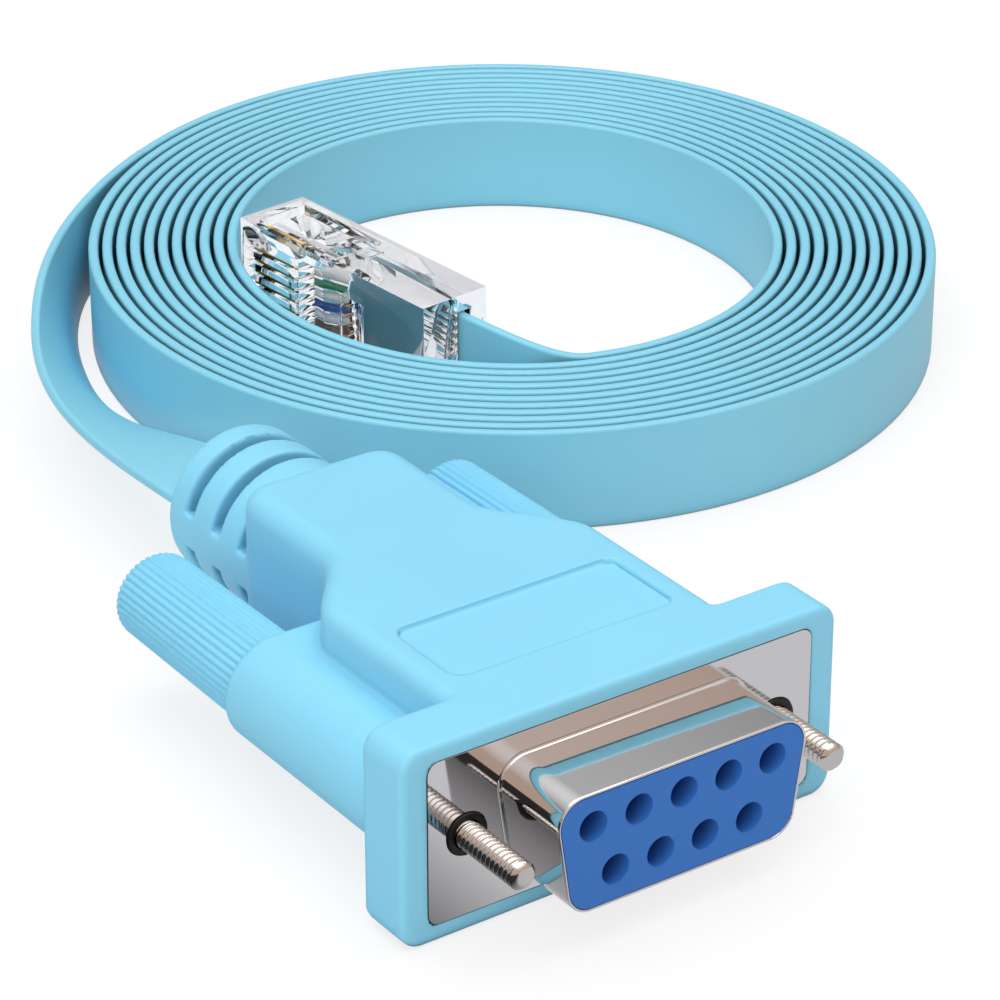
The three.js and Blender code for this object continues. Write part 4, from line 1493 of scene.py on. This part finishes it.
@dataclass
class ModularPlug:
    """The clear eight-way plug on its side. Its tip is y = 0, its latch is at +x and it lies on z = 0."""

    width: float = 11.68
    thickness: float = 6.5
    length: float = 23.4
    tip: tuple[float, float] = (25.35, 89.3)
    turn: float = 5.6
    jacket_x: float = 0.9
    jacket_end: float = 12.3
    wire_count: int = 8
    wire_pitch: float = 1.02
    wire_radius: float = 0.4
    edge_round: float = 0.09
    blade_thickness: float = 0.35
    slot_width: float = 0.46
    wire_slots: tuple[str, ...] = (
        "wire_white_1", "wire_brown", "wire_white_2", "wire_blue",
        "wire_white_3", "wire_green", "wire_white_4", "wire_orange",
    )
    wire_colours: tuple[Colour, ...] = (
        linear(206, 120, 40),
        linear(240, 238, 232),
        linear(110, 70, 40),
        linear(232, 236, 244),
        linear(36, 74, 160),
        linear(232, 238, 232),
        linear(26, 128, 66),
        linear(236, 232, 226),
    )
    pieces: list[bpy.types.Object] = field(default_factory=list)

    def place(self, x: float, y: float) -> np.ndarray:
        """Where a point of the plug lies on the connector's plan."""
        c, s = math.cos(math.radians(self.turn)), math.sin(math.radians(self.turn))
        return np.array([self.tip[0] + c * x - s * y, self.tip[1] + s * x + c * y])

    def placed(self, points: Sequence[Sequence[float]]) -> np.ndarray:
        """Move points from the plug's own frame to the connector's datum."""
        return np.array([(*self.place(x, y), z - AXIS_HEIGHT) for x, y, z in points])

    def block(self, low: Sequence[float], high: Sequence[float]) -> tuple[np.ndarray, list]:
        """Points and faces of a box in the plug's frame."""
        (a, b, c), (d, e, f) = low, high
        points = [(a, b, c), (d, b, c), (d, e, c), (a, e, c), (a, b, f), (d, b, f), (d, e, f), (a, e, f)]
        faces = [[0, 3, 2, 1], [4, 5, 6, 7], [0, 1, 5, 4], [1, 2, 6, 5], [2, 3, 7, 6], [3, 0, 4, 7]]
        return np.array(points), faces

    def prism(self, outline: Sequence[tuple[float, float]], low: float, high: float) -> tuple[np.ndarray, list]:
        """Points and faces of an outline (x, y), anticlockwise, drawn up from low to high."""
        n = len(outline)
        points = [(x, y, low) for x, y in outline] + [(x, y, high) for x, y in outline]
        faces = [list(range(n))[::-1], list(range(n, 2 * n))]
        faces += [[k, (k + 1) % n, n + (k + 1) % n, n + k] for k in range(n)]
        return np.array(points), faces

    def solid(self, name: str, shape: tuple[np.ndarray, list], finish: Finish) -> bpy.types.Object:
        """Make one object from a shape in the plug's frame."""
        return new_piece(name, self.placed(shape[0]), shape[1], finish)

    def wire_height(self, i: int) -> float:
        """Height of a wire above the floor."""
        return self.width / 2 + (i - (self.wire_count - 1) / 2) * self.wire_pitch

    def cutters(self) -> list[tuple[np.ndarray, list]]:
        """What is taken out of the clear body: blade slots, wire windows, jacket space and pockets."""
        side, middle = self.thickness / 2, self.width / 2
        slots = [
            self.block((-side - 1, -7.0, z - self.slot_width / 2), (-side + 2.9, -0.75, z + self.slot_width / 2))
            for z in map(self.wire_height, range(self.wire_count))
        ]
        window = self.block((-side - 1, -9.6, 1.15), (-side + 2.2, -7.6, self.width - 1.15))
        chamber = self.block((self.jacket_x - 1.1, -12.4, 1.2), (self.jacket_x + 1.0, -7.9, self.width - 1.2))
        jacket = self.block(
            (self.jacket_x - 0.62, -self.length - 1, middle - 4.45), (self.jacket_x + 0.62, -12.2, middle + 4.45)
        )
        clamp = self.prism(
            [(-side - 1, -15.9), (-side, -15.9), (-side + 2.0, -14.6), (-side + 2.0, -12.9), (-side - 1, -12.9)],
            2.4, self.width - 2.4,
        )
        top = self.block((-side + 0.9, -11.4, self.width - 0.85), (side - 0.9, -1.4, self.width + 1))
        foot = self.block((-side + 0.9, -11.4, -1), (side - 0.9, -1.4, 0.85))
        return [*slots, window, chamber, jacket, clamp, top, foot]

    def latch(self) -> tuple[np.ndarray, list]:
        """Points and faces of the spring latch."""
        side = self.thickness / 2
        outline = [
            (side - 0.3, -3.0), (side + 0.5, -3.0), (side + 1.6, -13.2), (side + 2.4, -13.4), (side + 2.55, -13.2),
            (side + 2.4, -9.4), (side + 1.7, -8.6), (side + 1.3, -3.2), (side + 0.9, -1.4), (side, -0.9),
            (side - 0.3, -0.9),
        ]
        return self.prism(outline, self.width / 2 - 3.1, self.width / 2 + 3.1)

    def build_body(self) -> bpy.types.Object:
        """Make the clear body with its slots, windows, pockets and latch."""
        side = self.thickness / 2
        body = self.solid("clear_plug_body", self.block((-side, -self.length, 0), (side, 0, self.width)), CLEAR_PLASTIC)
        tools = [("UNION", self.latch())] + [("DIFFERENCE", cutter) for cutter in self.cutters()]
        for operation, shape in tools:
            tool = self.solid("plug_tool", shape, CLEAR_PLASTIC)
            change = body.modifiers.new(operation.lower(), "BOOLEAN")
            change.operation = operation
            change.object = tool
            change.solver = "EXACT"
            keep_result(body)
            bpy.data.objects.remove(tool)
        edge = body.modifiers.new("soft_edges", "BEVEL")
        edge.width = self.edge_round * MM
        edge.segments = 2
        edge.limit_method = "ANGLE"
        edge.use_clamp_overlap = True
        keep_result(body)
        return smooth(body, 30)

    def build_blades(self, row: bpy.types.NodeTree) -> bpy.types.Object:
        """Make the eight gold blades as one row."""
        side, z, half = self.thickness / 2, self.wire_height(0), self.blade_thickness / 2
        outline = [
            (-side + 0.3, -6.6), (-side + 2.8, -6.4), (-side + 2.8, -4.2), (-side + 1.9, -3.9), (-side + 1.9, -3.0),
            (-side + 2.8, -2.7), (-side + 2.8, -1.3), (-side + 0.6, -1.0), (-side + 0.3, -1.4),
        ]
        piece = self.solid("plug_blades", self.prism(outline, z - half, z + half), GOLD_PLATE)
        values = {"Count": self.wire_count, "Step": (0.0, 0.0, self.wire_pitch * MM), "Finish": GOLD_PLATE.material()}
        run_nodes(piece, row, values)
        return piece

    def build_wire(self, i: int, finish: Finish) -> bpy.types.Object:
        """Make one wire, from the end of the jacket to under its blade."""
        z, x = self.wire_height(i), self.jacket_x
        route = [(x, -12.2), (x, -11.2), (x - 0.5, -9.6), (x - 1.1, -8.3), (x - 1.0, -7.4)]
        curve = bpy.data.curves.new("wire", "CURVE")
        curve.dimensions = "3D"
        curve.bevel_depth = self.wire_radius * MM
        curve.bevel_resolution = 4
        curve.use_fill_caps = True
        spline = curve.splines.new("NURBS")
        spline.points.add(len(route) - 1)
        spline.order_u = 3
        spline.use_endpoint_u = True
        for point, at in zip(spline.points, part_frame(self.placed([(px, py, z) for px, py in route]))):
            point.co = (*at, 1)
        mesh = curve_mesh(bpy.data.objects.new("wire", curve))
        mesh.materials.clear()
        mesh.materials.append(finish.material())
        piece = bpy.data.objects.new(f"wire_skin_{i + 1}", mesh)
        bpy.context.scene.collection.objects.link(piece)
        return smooth(piece, 60)

    def dress(self, row: bpy.types.NodeTree) -> None:
        """Build the plug's pieces and settle them."""
        body = settle(self.build_body(), Body.CABLE, CLEAR_PLASTIC, "plug_body")
        numbers = range(1, self.wire_count + 1)
        blades = settle(self.build_blades(row), Body.CABLE, GOLD_PLATE, *[f"plug_blade_{n}" for n in numbers])
        self.pieces = [body, blades]
        for i, colour in enumerate(self.wire_colours):
            # Each wire's finish paints only faint shade into its gaps, keeping nine tenths of its colour there.
            finish = Moulded(f"wire_skin_{i + 1}", self.wire_slots[i], colour, 0.35, grain_depth=0.02, crevice_shade=0.9)
            self.pieces.append(settle(self.build_wire(i, finish), Body.CABLE, finish, f"plug_wire_{i + 1}"))


# Studio


@dataclass
class Studio:
    """The camera, the floor and the lights."""

    camera_mm: tuple[float, float, float] = (-140.906, -207.119, 150.063)
    looking: tuple[float, float, float] = (0.50938, 0.72439, -0.46454)
    lens: float = 150.44
    floor_size: float = 4.0
    aim: tuple[float, float, float] = (0.03, 0.02, 0.0)
    room_light: float = 0.6
    mirror_gain: float = 0.5
    front_wall: Colour = (0.6, 0.46, 0.38)
    back_wall: Colour = (0.3, 0.305, 0.31)

    def build_camera(self) -> bpy.types.Object:
        """Set up the camera that sees what the photograph saw."""
        data = bpy.data.cameras.new("camera")
        data.sensor_width = 36.0
        data.lens = self.lens
        data.clip_start = 0.01
        camera = bpy.data.objects.new("camera", data)
        bpy.context.scene.collection.objects.link(camera)
        camera.location = Vector(self.camera_mm) * MM
        camera.rotation_euler = Vector(self.looking).to_track_quat("-Z", "Y").to_euler()
        bpy.context.scene.camera = camera
        return camera

    def build_floor(self) -> bpy.types.Object:
        """Lay a plain pale floor."""
        half = self.floor_size / 2
        mesh = bpy.data.meshes.new("floor")
        mesh.from_pydata([(-half, -half, 0), (half, -half, 0), (half, half, 0), (-half, half, 0)], [], [(0, 1, 2, 3)])
        mesh.materials.append(FloorPaper("floor_paper", "sky_plastic", (0.93, 0.93, 0.93), 0.9).material())
        floor = bpy.data.objects.new("floor", mesh)
        bpy.context.scene.collection.objects.link(floor)
        return floor

    def build_light(
        self, name: str, place: Sequence[float], size: float, power: float, colour: Colour, mirrored: bool
    ) -> None:
        """Hang one square soft light.

        Args:
            name: The light's name.
            place: Where it hangs, in metres.
            size: Length of its side, in metres.
            power: Its power in watts.
            colour: Its colour.
            mirrored: Whether bright metal shows it.
        """
        data = bpy.data.lights.new(name, "AREA")
        data.size = size
        data.energy = power
        data.color = colour
        light = bpy.data.objects.new(name, data)
        light.location = place
        light.rotation_euler = (Vector(self.aim) - Vector(place)).to_track_quat("-Z", "Y").to_euler()
        light.visible_glossy = mirrored
        bpy.context.scene.collection.objects.link(light)

    def build_world(self) -> None:
        """Fill the room with soft light: pale above, warm in front and grey behind."""
        world = bpy.data.worlds.new("soft_room")
        world.use_nodes = True
        bpy.context.scene.world = world
        graph = Graph(world.node_tree)
        direction = graph.node("ShaderNodeTexCoord").outputs["Generated"]
        apart = graph.node("ShaderNodeSeparateXYZ", {0: direction})
        white = (1.0, 1.0, 1.0, 1)
        facing_back = graph.ramp(apart.outputs["Y"], -0.6, 0.4)
        overhead = graph.ramp(apart.outputs["Z"], 0.45, 0.9)
        walls = graph.colours(facing_back, (*self.front_wall, 1), (*self.back_wall, 1))
        seen, mirrored = ray_kinds(graph)
        shown = graph.colours(seen, graph.colours(overhead, walls, white), white)
        background = world.node_tree.nodes["Background"]
        graph.feed(background.inputs["Color"], shown)
        power = graph.math("MULTIPLY_ADD", seen, 1 - self.room_light, self.room_light)
        graph.feed(background.inputs["Strength"], graph.math("MULTIPLY_ADD", mirrored, self.mirror_gain, power))

    def dress(self) -> None:
        """Lay the floor, hang the lights and set how the picture is shown."""
        self.build_floor()
        self.build_world()
        self.build_light("overhead", (0.05, 0.1, 0.9), 1.1, 6.5, (1.0, 1.0, 1.0), mirrored=True)
        self.build_light("front_left", (-0.7, -0.5, 0.6), 0.6, 3.6, (1.0, 0.99, 0.97), mirrored=False)
        bpy.context.scene.view_settings.view_transform = "Standard"
        bpy.context.scene.view_settings.look = "None"


def main() -> None:
    """Build the cable in the photographed view."""
    logging.basicConfig(level=logging.INFO, format="%(message)s")
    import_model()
    studio = Studio()
    studio.build_camera()
    row, ribbon = row_group(), ribbon_group()
    plug = ModularPlug()
    plug.dress(row)
    cable = FlatCable()
    cable.build_tail(ribbon)
    cable.build_lead(plug, ribbon)
    cable.build_coil(winding_group(ribbon))
    Hood().dress()
    DShell().dress(row)
    ribs, thread = ribs_group(), thread_group()
    for side in Side:
        Thumbscrew(side).dress(ribs, thread)
    studio.dress()
    bpy.context.view_layer.update()


if __name__ == "__main__":
    main()
